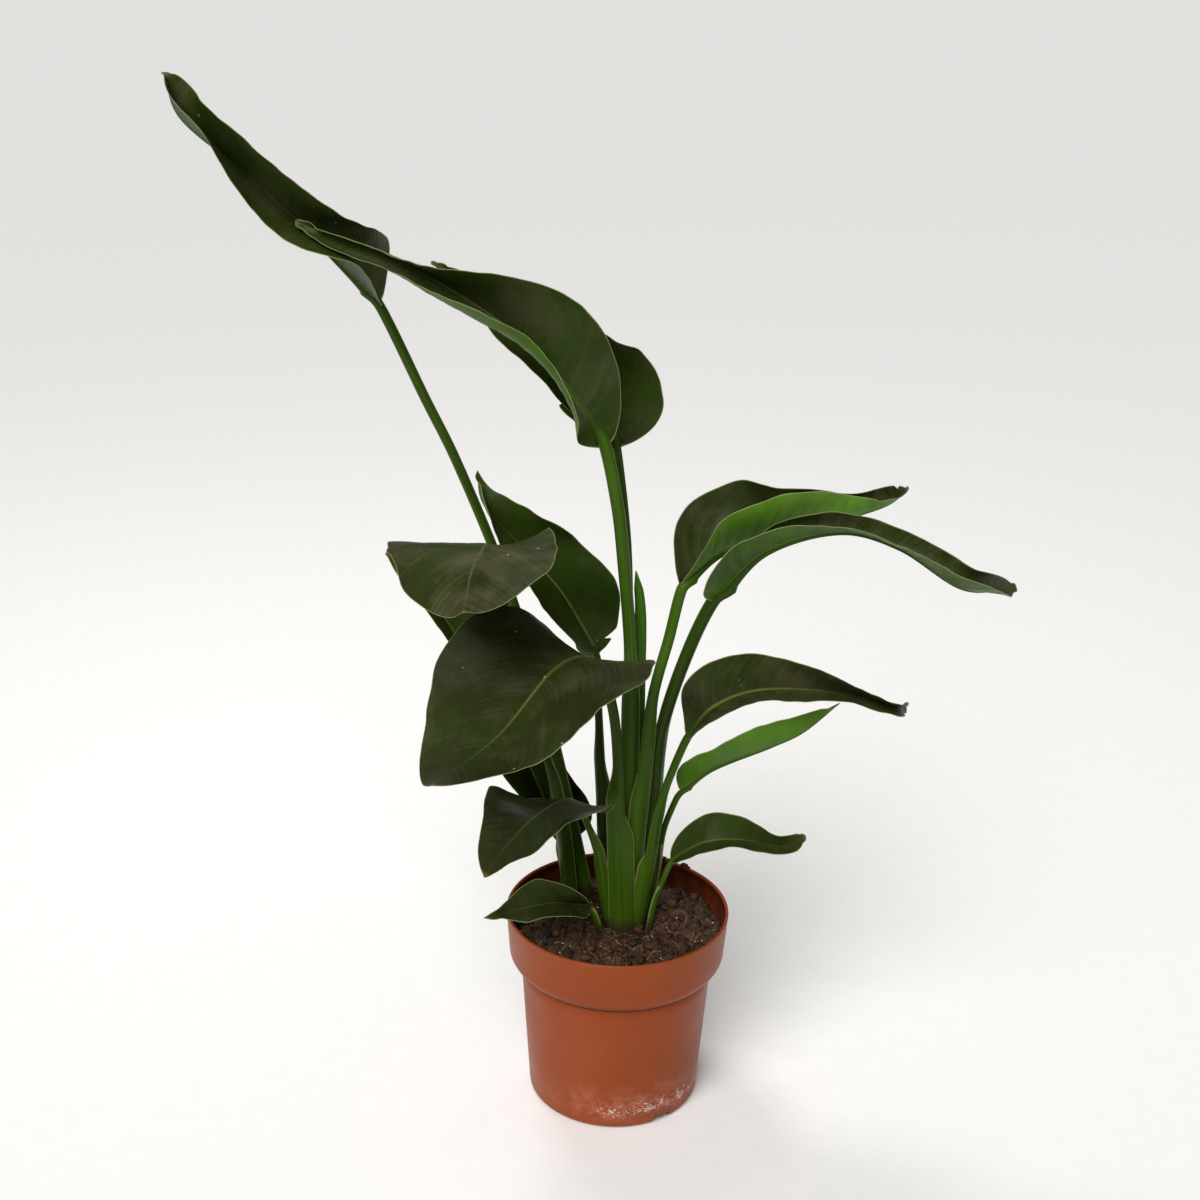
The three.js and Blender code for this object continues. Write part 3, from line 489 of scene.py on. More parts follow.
def moist_peat():
    """Coarse moist peat: dark brown fibre with reddish lumps and small wet glints."""
    material, node = blank("moist_peat")
    place = node("TexCoord").outputs["Object"]
    tone = node("Attribute", attribute_name="tone").outputs["Fac"]
    # patches of about 8 mm
    lump = node("TexNoise", dict(Vector=place, Scale=125, Detail=4, Roughness=0.6))
    reddish = node("MapRange", [
        node("Math", [tone, 0.55, lump], "MULTIPLY_ADD"), 0.55, 1.1, 0, 1])
    # fibres of about 1 mm: painted shade where they lie low between one another, and their raised
    # tops paler, partly as pale dry fibre and partly as a painted highlight
    fibre = node("TexNoise", dict(
        Vector=place, Scale=720, Detail=5, Roughness=0.75, Distortion=1.5))
    deep = node("MapRange", [fibre, 0.41, 0.66, 1, 0])
    pale = node("MapRange", [fibre, 0.62, 0.76, 0, 0.5])
    roughness = node("MapRange", [fibre, 0.3, 0.7, 0.38, 0.95])
    normal = node("Bump", dict(Strength=0.8, Distance=0.0006, Height=fibre))
    # 1E130C is painted shade between the fibres, #A8845F partly a painted highlight on their tops
    finish_shader(node, tuple(bpy.context.scene.plant_soil.colour), (
        (reddish, linear("#84572F")), (deep, linear("#1E130C")), (pale, linear("#A8845F"))),
        roughness, normal, IOR=1.4, Specular_IOR_Level=0.45)
    return material


def plain_fibre(name, light, dark, size, rough):
    """Dry plant fibre or mineral grain: two tones mixed by grain of a real size in millimetres."""
    material, node = blank(name)
    place = node("TexCoord").outputs["Object"]
    grain = node("TexNoise", dict(Vector=place, Scale=1 / (size * MM), Detail=4, Roughness=0.65))
    roughness = node("Math", [grain, 0.2, rough], "MULTIPLY_ADD")
    normal = node("Bump", dict(Strength=0.4, Distance=0.0002, Height=grain))
    finish_shader(node, dark, [(node("MapRange", [grain, 0.35, 0.65, 0, 1]), light)],
                  roughness, normal, IOR=1.45)
    return material


def leaf_materials():
    """The three finishes of a leaf: upper face, underside, and stalk with keel and sheath."""
    leaf = bpy.context.scene.plant_leaf
    upper = leaf_skin(
        "waxy_upper_leaf", tuple(leaf.old_colour), tuple(leaf.fresh_colour),
        rib=(linear("#6C7834"), 0.8), margin=(linear("#8E9262"), 0.8),
        vein=(linear("#484A26"), 0.14), rough=0.34, dusty=(linear("#56523A"), 0.75), gloss=0.13)
    under = leaf_skin(
        "waxy_leaf_underside", linear("#1C2C08"), linear("#5E8C24"),
        rib=(linear("#66883A"), 0.6), margin=(linear("#8C9A5C"), 0.8),
        vein=(linear("#5E7A38"), 0.25), rough=0.36, dusty=(linear("#5B5A40"), 0.5), gloss=0.1)
    stalk = stalk_skin(
        "waxy_leaf_stalk", tuple(leaf.stalk_colour), linear("#36560A"), linear("#3E600A"),
        linear("#5A7018"), rough=0.32)
    return upper, under, stalk


# ---- geometry ----

def smoothstep(value, low, high):
    """0 below low, 1 above high and a smooth run in between."""
    share = min(1.0, max(0.0, (value - low) / (high - low)))
    return share * share * (3 - 2 * share)


def lerp(a, b, share):
    """The value at a share of the way from a to b."""
    return a + (b - a) * share


def polar(radius, angle, z=0):
    """The point at a radius and an angle around the pot's axis."""
    return Vector((radius * math.cos(angle), radius * math.sin(angle), z))


def ease(values, at):
    """Smooth run through values set evenly between 0 and 1."""
    last = len(values) - 1
    place = min(1.0, max(0.0, at)) * last
    i = min(int(place), last - 1)
    w = place - i
    b, c = values[i], values[i + 1]
    a = values[i - 1] if i > 0 else 2 * b - c
    d = values[i + 2] if i + 2 <= last else 2 * c - b
    cubic = 3 * b - a - 3 * c + d
    return 0.5 * (2 * b + (c - a) * w + (2 * a - 5 * b + 4 * c - d) * w * w + cubic * w ** 3)


def curve_points(points, shares):
    """Points at these shares of the length of a smooth curve, and its length."""
    given = [Vector(p) for p in points]
    ends = [2 * given[0] - given[1]] + given + [2 * given[-1] - given[-2]]

    def at(t):
        place = t * (len(given) - 1)
        i = min(int(place), len(given) - 2)
        w = place - i
        a, b, c, d = ends[i:i + 4]
        one, two, three = [math.sqrt(max((q - p).length, 1e-4))
                           for p, q in ((a, b), (b, c), (c, d))]
        start = ((b - a) / one - (c - a) / (one + two) + (c - b) / two) * two
        stop = ((c - b) / two - (d - b) / (two + three) + (d - c) / three) * two
        return (b + start * w + (3 * (c - b) - 2 * start - stop) * w * w
                + (2 * (b - c) + start + stop) * w ** 3)

    steps = 400
    table = [at(k / steps) for k in range(steps + 1)]
    run = [0.0]
    for p, q in zip(table, table[1:]):
        run.append(run[-1] + (q - p).length)
    found, k = [], 0
    for share in shares:
        goal = share * run[-1]
        while k < steps - 1 and run[k + 1] < goal:
            k += 1
        found.append(at((k + (goal - run[k]) / (run[k + 1] - run[k])) / steps))
    return found, run[-1]


def carried(points, up):
    """Frames along a line of points: (point, ahead, up, right), with up carried without twist."""
    last = len(points) - 1
    frames = []
    for i, point in enumerate(points):
        ahead = (points[min(i + 1, last)] - points[max(i - 1, 0)]).normalized()
        up = (up - ahead * up.dot(ahead)).normalized()
        frames.append((point, ahead, up, ahead.cross(up)))
    return frames


def half_width(leaf, at):
    """Half width of a blade at a place between its base (0) and its tip (1)."""
    tip = leaf["fullness"] * (1 - leaf["widest"]) / leaf["widest"]
    rise = (at / leaf["widest"]) ** leaf["fullness"]
    fall = ((1 - at) / (1 - leaf["widest"])) ** tip
    return max(lerp(LEAST, leaf["blunt"], at), leaf["half"] * rise * fall)


def keel_radius(leaf, at):
    """Radius of the midrib's keel under the blade."""
    return leaf["round"] * (1 - at) ** 1.2 * (0.5 + 0.5 * math.exp(-at / 0.08)) + 0.25


class Mesh:
    """Collects points with their named values, and faces with their material numbers."""

    def __init__(self, *names):
        self.points, self.faces, self.slots = [], [], []
        self.values = {name: [] for name in names}

    def point(self, place, **values):
        """Adds a point and gives its number."""
        self.points.append(place)
        for name, held in self.values.items():
            held.append(values.get(name, 0.0))
        return len(self.points) - 1

    def face(self, corners, slot=0):
        """Adds a face through points of these numbers."""
        self.faces.append(corners)
        self.slots.append(slot)

    def band(self, low, high, slot=0, closed=True):
        """Quads between two rows of equally many points."""
        count = len(low)
        for k in range(count if closed else count - 1):
            j = (k + 1) % count
            self.face((low[k], low[j], high[j], high[k]), slot)

    def body(self, rings, low, high, slot=0):
        """A closed body through rings of points, with a fan from a middle point at both ends."""
        for below, above in zip(rings, rings[1:]):
            self.band(below, above, slot)
        for k in range(len(rings[0])):
            j = (k + 1) % len(rings[0])
            self.face((low, rings[0][j], rings[0][k]), slot)
            self.face((high, rings[-1][k], rings[-1][j]), slot)

    def make(self, name, materials, scale=MM):
        """The finished object, linked into the scene."""
        data = bpy.data.meshes.new(name)
        data.from_pydata([p * scale for p in self.points], [], self.faces)
        for label, held in self.values.items():
            data.attributes.new(label, "FLOAT", "POINT").data.foreach_set("value", held)
        data.polygons.foreach_set("material_index", self.slots)
        data.polygons.foreach_set("use_smooth", [True] * len(self.faces))
        for material in materials:
            data.materials.append(material)
        data.validate()
        data.update()
        made = bpy.data.objects.new(name, data)
        bpy.context.scene.collection.objects.link(made)
        return made


def leaf_mesh():
    """A mesh with the named values that the leaf materials read."""
    return Mesh("across", "along", "edge", "tip", "tone", "dust", "sheathed")


def blade_grid(leaf, seed):
    """Rows of a blade from its left margin over the midrib to its right, with their places."""
    settings = bpy.context.scene.plant_leaf
    _, length = curve_points(leaf["rib"], [0.0, 1.0])
    rows = max(40, round(length * MM / settings.row_step))
    shares = [lerp(i / rows, (1 - math.cos(math.pi * i / rows)) / 2, 0.55)
              for i in range(rows + 1)]  # closer at both ends
    points, length = curve_points(leaf["rib"], shares)
    frames = carried(points, Vector(leaf["face"]))
    columns = settings.columns
    # columns lie closer near the midrib, and the last one is the thin margin
    spread = [(k / columns) ** 1.5 for k in range(columns)] + [0.985, 1.0]
    depth = leaf.get("crease", PLEAT_DEPTH)
    grid = []
    for at, (point, ahead, up, right) in zip(shares, frames):
        full = half_width(leaf, at)
        opened = min(1.0, max(0.0, (full - LEAST) / UNFOLD))
        ends = min(1.0, 4 * (1 - at), 6 * at)  # fades the waves out at the base and the tip
        tip = max(0.0, 1 - (1 - at) * length / (1.2 * leaf["blunt"]))
        rounded = math.sqrt(max(0.03, 1 - tip * tip))
        row = {}
        for side, angles, curl, trim in zip((-1, 1), (leaf["left"], leaf["right"]),
                                            leaf["curl"], leaf["trim"]):
            ragged = noise.noise(Vector((at * 14, side * 3.1, seed))) * 0.022 * ends
            width = full * ease(trim, at) * (1 + ragged) * rounded
            for bite_side, where, span, deep in leaf.get("nicks", ()):
                if bite_side == side:
                    width *= 1 - deep * max(0.0, 1 - ((at - where) / span) ** 2) ** 2
            out = rise = 0.0
            cells = [(point.copy(), 0.0, width)]
            for near, far in zip(spread, spread[1:]):
                turn = math.radians((ease(angles, at) + curl * (near + far - 1)) * opened)
                out += math.cos(turn) * width * (far - near)
                rise += math.sin(turn) * width * (far - near)
                reach = far * far
                ripple = leaf["wave"] * math.sin(2 * math.pi * (3 * at + 0.37 * side))
                phase = at * length - VEIN_BEND * (far * width) ** VEIN_POWER
                pleat = (math.sin(2 * math.pi * phase / PLEAT_STEP + seed) - 1) * depth
                pleat *= math.sin(math.pi * far)
                place = (point + right * (side * out) + up * (rise + ripple * reach * ends)
                         - ahead * (leaf["lobe"] * reach * (1 - at) ** 6))
                # soft unevenness, 30 mm and 11 mm across
                soft = noise.noise(place / 30 + Vector((seed, 0, 0))) * 1.6
                soft += noise.noise(place / 11 + Vector((0, seed, 0))) * 1.1
                lift = up * math.cos(turn) - right * (side * math.sin(turn))
                cells.append((place + lift * (pleat * ends * opened + soft * reach * ends),
                              side * far * width, (1 - far) * width))
            row[side] = cells
        grid.append(list(reversed(row[-1][1:])) + row[1])
    return grid, shares, frames, length


def blade(mesh, leaf, seed):
    """A thin closed sheet over the grid: upper face in slot 0 and underside in slot 1."""
    grid, shares, frames, length = blade_grid(leaf, seed)
    thick = bpy.context.scene.plant_leaf.thickness / MM
    last_row, last_cell = len(grid) - 1, len(grid[0]) - 1
    upper, under = [], []
    for i, (row, share) in enumerate(zip(grid, shares)):
        top, low = [], []
        keel = keel_radius(leaf, share)
        left_over = (1 - share) * length
        for k, (place, across, edge) in enumerate(row):
            along = grid[min(i + 1, last_row)][k][0] - grid[max(i - 1, 0)][k][0]
            over = row[min(k + 1, last_cell)][0] - row[max(k - 1, 0)][0]
            normal = over.cross(along).normalized()
            half = thick * (0.5 if edge > 1 else 0.3)
            groove = 0.15 * keel * math.exp(-(across / (0.9 * keel)) ** 2)
            values = dict(across=across, edge=min(edge, left_over + 0.2), along=share * length,
                          tip=left_over, dust=leaf["dust"])
            top.append(mesh.point(place + normal * (half - groove), tone=leaf["tone"], **values))
            low.append(mesh.point(place - normal * (half + groove),
                                  tone=leaf.get("under", leaf["tone"]), **values))
        upper.append(top)
        under.append(low)
    for i in range(last_row):
        mesh.band(upper[i], upper[i + 1], 0, closed=False)
        for k in range(last_cell):  # the same diagonal as above, so that the two never meet
            mesh.face((under[i][k], under[i + 1][k], under[i + 1][k + 1], under[i][k + 1]), 1)
        mesh.face((upper[i][-1], under[i][-1], under[i + 1][-1], upper[i + 1][-1]), 0)
        mesh.face((under[i][0], upper[i][0], upper[i + 1][0], under[i + 1][0]), 0)
    mesh.band(under[0], upper[0], 0, closed=False)
    mesh.band(upper[-1], under[-1], 0, closed=False)
    return frames, shares


def tube(mesh, rings, slot, **values):
    """A closed body through rings, each a list of (place, values)."""
    made = [[mesh.point(place, **held, **values) for place, held in ring] for ring in rings]
    low, high = [
        mesh.point(sum((place for place, _ in ring), Vector()) / len(ring), **ring[0][1], **values)
        for ring in (rings[0], rings[-1])]
    mesh.body(made, low, high, slot)


def stalk(mesh, leaf, frames, shares, sides=28):
    """Stalk with its clasping sheath, running on as the keel under the midrib, in slot 2."""
    foot = Vector(leaf["stalk"][0])
    root = foot + (foot - Vector(leaf["stalk"][1])).normalized() * ROOTED
    neck = curve_points(leaf["rib"], [NECK])[0][0]
    line = [root] + [Vector(p) for p in leaf["stalk"]] + [neck]
    _, length = curve_points(line, [0.0, 1.0])
    steps = max(24, round(length / 4))
    places = [i / steps for i in range(steps + 1)]
    centres, _ = curve_points(line, places)
    blade_up = frames[0][2]
    lowered = []
    for at, centre in zip(places, centres):
        sink = keel_radius(leaf, 0) * 0.9 * smoothstep(at, 1 - 14 / length, 1)
        lowered.append(centre - blade_up * sink)
    radii = [leaf["round"]] * len(lowered)
    for share, (point, _, up, _) in zip(shares, frames):
        if NECK * 1.3 < share < KEEL_END:
            radius = keel_radius(leaf, share)
            lowered.append(point - up * radius * 0.9)
            radii.append(radius)
            places.append(1.0 + share)
    rings = []
    wide, thick, bow = leaf["sheath"]
    run = -ROOTED
    before = lowered[0]
    for at, radius, (point, _, up, right) in zip(
            places, radii, carried(lowered, Vector(leaf["inner"]))):
        run += (point - before).length
        before = point
        ring = []
        for k in range(sides):
            angle = 2 * math.pi * k / sides
            across, lift = math.cos(angle), math.sin(angle)
            # the sheath: two thin margins that end apart, and a flat back between them
            top = leaf["clasp"] * leaf["wings"][1 if across > 0 else 0]
            clasped = 1 - smoothstep(at, top * 0.78, top)
            clasped *= smoothstep(abs(across), 0, 0.35)
            deep = max(clasped, 1 - smoothstep(at, leaf["clasp"] * 0.62, leaf["clasp"]))
            out = lerp(radius, wide, clasped)
            body = lerp(radius, thick, deep)
            thin = 1 - 0.45 * clasped * abs(across) ** 3
            # the channel along the inner side, from the sheath to shortly before the blade
            channel = 0.4 * radius * math.exp(-(across / 0.38) ** 2) if lift > 0 else 0.0
            channel *= (1 - deep) * (1 if at < 0.9 else 0)
            place = (point + right * (across * out * (1 + 0.08 * clasped * across ** 6))
                     + up * (lift * body * thin + bow * clasped * across * across - channel))
            edge = (1 - abs(across)) * out + (0.0 if clasped > 0.06 else 9.0)
            ring.append((place, dict(
                across=angle * 0.5 * (radius + out), along=run, edge=edge,
                sheathed=clasped * smoothstep(160 - run, 0, 120))))
        rings.append(ring)
    tube(mesh, rings, 2, tone=leaf["stem"], tip=500.0)


# ---- operators ----

def settle(piece, slot, *nodes):
    """Fixes a finished piece to the plant's one body."""
    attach(piece, BODY)
    if nodes:
        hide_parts(*nodes)


class PLANT_OT_mould_pot(bpy.types.Operator):
    """Turn the pot's profile, cut its drain slots and give it its plastic"""
    bl_idname = "plant.mould_pot"
    bl_label = "Mould the pot"

    def profile(self, high, rim):
        """Radii and heights around the section, from the underside over the lip to the floor
        inside, and the number of the last point that is outside."""
        collar, shoulder = high - COLLAR, high - COLLAR - SHOULDER
        mouth, waist = rim - COLLAR_TAPER, rim - SHOULDER_INSET

        def outside(z):
            if z >= collar:
                return lerp(mouth, rim, (z - collar) / COLLAR)
            if z >= shoulder:
                return lerp(waist, mouth, math.sin((z - shoulder) / SHOULDER * math.pi / 2) ** 0.8)
            return lerp(rim - FOOT_INSET, waist, z / shoulder)

        def wall(low, high, steps, inset=0.0):
            places = [lerp(low, high, k / steps) for k in range(1, steps + 1)]
            return [(outside(z) - inset, z) for z in places]

        points = list(UNDERSIDE)
        for angle in (math.radians(turn) for turn in range(0, 91, 15)):
            points.append((outside(FOOT_CORNER) - FOOT_CORNER * (1 - math.sin(angle)),
                           FOOT_CORNER * (1 - math.cos(angle))))
        points += wall(FOOT_CORNER, shoulder - 1.4, 12)
        # thin groove where the body meets the shoulder
        for step, inset in ((-0.8, 0.7), (-0.1, 0.8), (0.3, 0)):
            points.append((outside(shoulder + step) - inset, shoulder + step))
        points += wall(shoulder, collar, 15)
        points += wall(collar, high - 1, 8)
        for angle in (math.radians(turn) for turn in range(15, 166, 15)):
            points.append((rim - LIP + LIP * math.cos(angle), high - 1 + math.sin(angle)))
        lip = len(points) - 1
        points += [(rim - 2 * LIP, high - 3), (rim - WALL, high - 4)]
        points += wall(high - 4, shoulder, 8, WALL) + wall(shoulder, FLOOR_TOP + 3, 5, WALL)
        return points + [(radius, FLOOR_TOP) for radius in (rim - 23, 40, 20)], lip

    def execute(self, context):
        pot = context.scene.plant_pot
        points, lip = self.profile(pot.height / MM, pot.rim_radius / MM)
        turns = [2 * math.pi * k / pot.segments for k in range(pot.segments)]
        mesh = Mesh("inside")
        rows = [[mesh.point(polar(radius, turn, z), inside=float(i > lip)) for turn in turns]
                for i, (radius, z) in enumerate(points)]
        mesh.body(rows, mesh.point(Vector((0, 0, 0))),
                  mesh.point(Vector((0, 0, FLOOR_TOP)), inside=1.0))
        piece = mesh.make("pot_shell", [moulded_plastic()])
        cutter = Mesh()
        for number in range(DRAINS):
            turn = Matrix.Rotation(math.radians(FIRST_DRAIN + 360 / DRAINS * number), 3, "Z")
            corners = [cutter.point(turn @ Vector((DRAIN_REACH[far], y * DRAIN_WIDTH / 2, z)))
                       for z in (-3, DRAIN_TOP)
                       for far, y in ((0, -1), (1, -1), (1, 1), (0, 1))]
            for side in ((3, 2, 1, 0), (4, 5, 6, 7), (0, 1, 5, 4), (1, 2, 6, 5), (2, 3, 7, 6),
                         (3, 0, 4, 7)):
                cutter.face(tuple(corners[k] for k in side))
        knife = cutter.make("drain_cutter", [])
        cut = piece.modifiers.new("drain", "BOOLEAN")
        cut.operation, cut.object, cut.solver = "DIFFERENCE", knife, "EXACT"
        context.view_layer.update()
        done = bpy.data.meshes.new_from_object(
            piece.evaluated_get(context.evaluated_depsgraph_get()))
        piece.modifiers.clear()
        piece.data = done
        bpy.data.objects.remove(knife)
        if len(done.polygons) < pot.segments * 10:
            raise RuntimeError("the pot lost its walls when its drain slots were cut")
        settle(piece, "pot_plastic", "pot")
        return {"FINISHED"}


class PLANT_OT_fill_soil(bpy.types.Operator):
    """Fill the pot with peat: a lumpy bed with loose crumbs, fine roots and mineral grains"""
    bl_idname = "plant.fill_soil"
    bl_label = "Fill with peat"

    def clods(self, place, size):
        """Height of lumps of about this size, split by grooves, and a tone for the lump."""
        far, spots = noise.voronoi(Vector((place.x / size, place.y / size, size)))
        tone = 0.5 + 0.5 * noise.noise(spots[0] * 3.7)
        return smoothstep(far[1] - far[0], 0, 0.55) * size * (0.12 + 0.3 * tone), tone

    def height(self, place):
        """Height of the bed, and how light its peat is there."""
        broad = math.sin(place.x / 11 + 1.3) * math.cos(place.y / 9 + 0.4) * 1.6
        big, tone = self.clods(place, 13)
        small, grain = self.clods(place, 5)
        flat = Vector((place.x, place.y, 0))
        fine = noise.turbulence(flat / 2.6, 3, False) * 0.9
        lift = broad + big + small + fine - 2 * (flat.length / 84.5) ** 6
        return SOIL_TOP - BED_SINK + lift, 0.5 * tone + 0.5 * grain

    def on_bed(self, place, lift=0.0):
        """The place moved to a height over the bed."""
        return Vector((place.x, place.y, self.height(place)[0] + lift))

    def execute(self, context):
        soil = context.scene.plant_soil
        draw = random.Random(11)
        mesh = Mesh("tone")
        turns = [2 * math.pi * k / BED_SIDES for k in range(BED_SIDES)]
        rows = [[mesh.point(polar(radius, turn, z)) for turn in turns]
                for radius, z in BED_WALL]
        for i in range(BED_RINGS, 0, -1):
            row = []
            for turn in turns:
                place = polar(BED_RADIUS * i / BED_RINGS, turn)
                place.z, tone = self.height(place)
                row.append(mesh.point(place, tone=tone))
            rows.append(row)
        mesh.body(rows, mesh.point(Vector((0, 0, BED_WALL[0][1]))),
                  mesh.point(self.on_bed(Vector()), tone=0.5))
        for _ in range(soil.crumbs):
            radius = 79 * math.sqrt(draw.random())
            turn = draw.uniform(0, 2 * math.pi)
            size = min(5.5, 0.85 * math.exp(draw.gauss(0.45, 0.6)))
            place = polar(min(radius, 80 - size), turn)
            self.crumb(mesh, self.on_bed(place, 0.2 * size), size, draw)
        rim_top = context.scene.plant_pot.height / MM
        for x, y, size in RIM_CRUMBS:
            self.crumb(mesh, Vector((x, y, rim_top + 0.3 * size)), size, draw, 0.0)
        bed = mesh.make("peat_bed", [moist_peat()])
        settle(bed, "peat", "soil")
        self.roots(soil.roots, draw)
        self.grains(soil.grains, draw)
        return {"FINISHED"}

    def crumb(self, mesh, middle, size, draw, tone=None):
        """One rough lump of peat: a noisy ball, flattened a little."""
        shift = Vector([draw.uniform(0, 50) for _ in range(3)])
        stretch = Vector([draw.uniform(*span) for span in ((0.8, 1.35), (0.7, 1.1), (0.55, 0.85))])
        spin = Matrix.Rotation(draw.uniform(0, 6.3), 3, "Z")
        around, up = 10, 6
        tone = draw.random() if tone is None else tone

        def spot(direction):
            bump = 1 + 0.45 * noise.noise(direction * 1.6 + shift)
            bump += 0.22 * noise.noise(direction * 4.2 + shift)
            return mesh.point(middle + spin @ (direction * stretch) * (size * bump), tone=tone)

        rings = []
        for tilt in (math.pi * j / up for j in range(1, up)):
            rings.append([spot(polar(math.sin(tilt), 2 * math.pi * k / around, -math.cos(tilt)))
                          for k in range(around)])
        mesh.body(rings, spot(Vector((0, 0, -1))), spot(Vector((0, 0, 1))))

    def scattered(self, reach, draw):
        """A random place on the bed within this reach of its middle."""
        turn = draw.uniform(0, 6.3)
        return polar(reach * math.sqrt(draw.random()), turn)

    def roots(self, count, draw):
        """Fine roots and fibres that lie on the peat and dip in and out of it."""
        mesh = Mesh()
        stride = 2.2
        for _ in range(count):
            place = self.scattered(74, draw)
            heading = draw.uniform(0, 6.3)
            thick = draw.uniform(0.13, 0.38)
            points = []
            for _ in range(draw.randint(8, 16)):
                if place.length > 77:
                    break
                lift = 0.5 + 1.6 * noise.noise(Vector((place.x / 6, place.y / 6, heading)))
                points.append(self.on_bed(place, lift))
                heading += draw.uniform(-0.55, 0.55)
                place += polar(stride, heading)
            if len(points) < 4:
                continue
            rings = []
            for i, (point, _, up, right) in enumerate(carried(points, Vector((0, 0, 1)))):
                size = thick * (1 - 0.6 * i / len(points))
                rings.append([(point + (right * math.cos(t) + up * math.sin(t)) * size, {})
                              for t in (math.pi * k / 3 for k in range(6))])
            tube(mesh, rings, 0)
        piece = mesh.make("fine_roots", [plain_fibre(
            "dry_root_fibre", linear("#A3845E"), linear("#5C432E"), 1.5, 0.6)])
        settle(piece, "peat")

    def grains(self, count, draw):
        """White mineral grains, about a millimetre across."""
        mesh = Mesh()
        for _ in range(count):
            place = self.scattered(76, draw)
            size = draw.uniform(0.3, 0.75)
            self.crumb(mesh, self.on_bed(place, 0.6), size, draw)
        piece = mesh.make("mineral_grains", [plain_fibre(
            "white_mineral_grain", linear("#E8E2D4"), linear("#A89C88"), 0.6, 0.35)])
        settle(piece, "peat")


class PLANT_OT_grow_leaves(bpy.types.Operator):
    """Grow every open leaf: blade, midrib, stalk and sheath in one piece"""
    bl_idname = "plant.grow_leaves"
    bl_label = "Grow the leaves"

    def execute(self, context):
        finishes = leaf_materials()
        for number, (name, leaf) in enumerate(LEAVES.items()):
            mesh = leaf_mesh()
            frames, shares = blade(mesh, leaf, 1.7 * number)
            stalk(mesh, leaf, frames, shares)
            piece = mesh.make(name.replace("leaf_", "blade_"), finishes)
            settle(piece, "young_leaf" if name in YOUNG else "leaf", name)
        return {"FINISHED"}


class PLANT_OT_roll_spear(bpy.types.Operator):
    """Roll up the newest leaf"""
    bl_idname = "plant.roll_spear"
    bl_label = "Roll the spear"

    def execute(self, context):
        mesh = leaf_mesh()
        foot = Vector(SPEAR["line"][0])
        line = [foot - Vector((0, 0, ROOTED))] + [Vector(p) for p in SPEAR["line"]]
        steps, sides = 80, 40
        points, length = curve_points(line, [i / steps for i in range(steps + 1)])
        rings = []
        for i, (point, _, up, right) in enumerate(carried(points, Vector((0, -1, 0)))):
            share = i / steps
            radius = ease(SPEAR["radii"], share)
            if share > 0.94:  # drawn in to a short point
                radius = min(radius, lerp(4.4, 0.5, (share - 0.94) / 0.06))
            ring = []
            for k in range(sides):
                turn = k / sides
                angle = 2 * math.pi * turn - 0.9 + 0.5 * share
                size = radius * (0.9 + 0.13 * turn)  # the roll's free margin stands proud
                ring.append((point + right * (math.cos(angle) * size)
                             + up * (math.sin(angle) * size * SPEAR["flat"]),
                             dict(across=angle * radius, along=share * length - ROOTED,
                                  edge=min(turn, 1 - turn) * 2 * math.pi * radius,
                                  tip=(1 - share) * length)))
            rings.append(ring)
        tube(mesh, rings, 0, tone=0.3)
        # the underside of a young leaf, as smooth and fibrous as a stalk but fresher
        skin = stalk_skin("rolled_young_leaf", linear("#274A0A"), linear("#3A6610"),
                          linear("#4A7814"), linear("#64902C"), rough=0.3)
        piece = mesh.make("rolled_spear", [skin])
        settle(piece, "young_leaf", "leaf_spear")
        return {"FINISHED"}


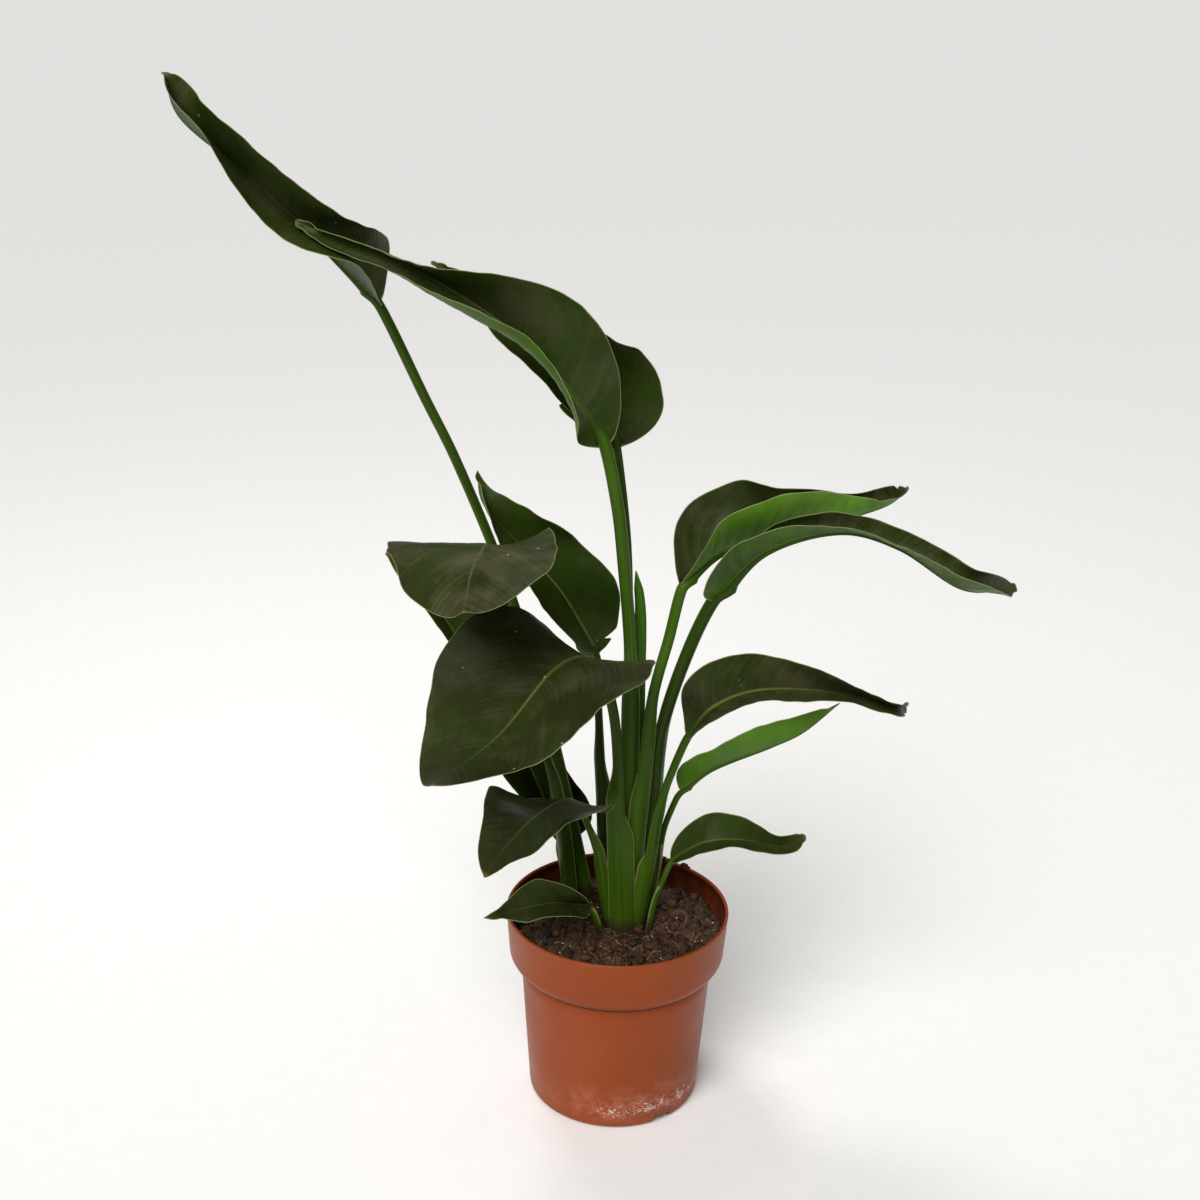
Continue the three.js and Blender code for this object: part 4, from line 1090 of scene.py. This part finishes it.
class PLANT_OT_set_stage(bpy.types.Operator):
    """Put up the floor, the lights and the camera"""
    bl_idname = "plant.set_stage"
    bl_label = "Set the stage"

    def execute(self, context):
        scene = context.scene
        # matt painted board, almost white, with a faint unevenness
        material, node = blank("matt_studio_floor")
        place = node("TexCoord").outputs["Object"]
        grain = node("TexNoise", dict(Vector=place, Scale=60, Detail=3, Roughness=0.5))
        finish_shader(node, linear("#F7F6F4"), [(grain, linear("#FCFBF9"))], 0.9,
                      node("Bump", dict(Strength=0.02, Distance=0.001, Height=grain)))
        mesh = Mesh()
        mesh.face([mesh.point(Vector((x * FLOOR_HALF, y * FLOOR_HALF, -0.0004)))
                   for x, y in ((-1, -1), (1, -1), (1, 1), (-1, 1))])
        floor = mesh.make("studio_floor", [material], scale=1)

        scene.world = bpy.data.worlds.new("soft_white_room")
        scene.world.use_nodes = True
        sky = scene.world.node_tree.nodes["Background"]
        sky.inputs["Color"].default_value = (1.0, 0.99, 0.97, 1.0)
        sky.inputs["Strength"].default_value = 0.2
        for name, kind, spot, size, power in LIGHTS:
            light = bpy.data.lights.new(name, kind)
            light.energy = power
            if kind == "SUN":
                light.angle = size
            else:
                light.shape, light.size = "SQUARE", size
            lamp = bpy.data.objects.new(name, light)
            lamp.location = spot
            aim = LIGHTS_AIM - lamp.location
            lamp.rotation_euler = aim.to_track_quat("-Z", "Y").to_euler()
            scene.collection.objects.link(lamp)

        lens = bpy.data.cameras.new("view")
        lens.sensor_width, lens.lens = SENSOR, LENS
        lens.clip_start, lens.clip_end = 0.05, 200.0
        camera = bpy.data.objects.new("view", lens)
        tilt = Matrix.Rotation(math.radians(90 - CAMERA_DOWN), 3, "X")
        roll = Matrix.Rotation(math.radians(CAMERA_ROLL), 3, "Z")
        camera.location = CAMERA_SPOT
        camera.rotation_euler = (tilt @ roll).to_euler()
        scene.collection.objects.link(camera)
        scene.camera = camera
        scene.view_settings.view_transform = "Standard"
        return {"FINISHED"}


class PLANT_PT_sidebar(bpy.types.Panel):
    """Lists the steps that make the plant"""
    bl_idname = "PLANT_PT_sidebar"
    bl_label = "Potted plant"
    bl_space_type = "VIEW_3D"
    bl_region_type = "UI"
    bl_category = "Plant"

    def draw(self, context):
        for group in (context.scene.plant_pot, context.scene.plant_soil,
                      context.scene.plant_leaf):
            box = self.layout.box()
            for name in group.__annotations__:
                box.prop(group, name)
        for step in STEPS:
            self.layout.operator(step.bl_idname)


GROUPS = {"plant_pot": PotSettings, "plant_soil": SoilSettings, "plant_leaf": LeafSettings}
STEPS = (PLANT_OT_mould_pot, PLANT_OT_fill_soil, PLANT_OT_grow_leaves, PLANT_OT_roll_spear,
         PLANT_OT_set_stage)


def register():
    """Registers the settings, the operators and the panel."""
    for name, group in GROUPS.items():
        bpy.utils.register_class(group)
        setattr(bpy.types.Scene, name, PointerProperty(type=group))
    for step in STEPS + (PLANT_PT_sidebar,):
        bpy.utils.register_class(step)


def unregister():
    """Takes them away again, in the opposite order."""
    for step in reversed(STEPS + (PLANT_PT_sidebar,)):
        bpy.utils.unregister_class(step)
    for name, group in reversed(GROUPS.items()):
        delattr(bpy.types.Scene, name)
        bpy.utils.unregister_class(group)


def main():
    """Makes the plant step by step."""
    kept = set(frame["nodes"].values()) | set(frame["bodies"].values())
    for spare in [o for o in bpy.data.objects if o not in kept]:
        bpy.data.objects.remove(spare)
    register()
    for step in STEPS:
        group, name = step.bl_idname.split(".")
        getattr(getattr(bpy.ops, group), name)()


if __name__ == "__main__":
    main()
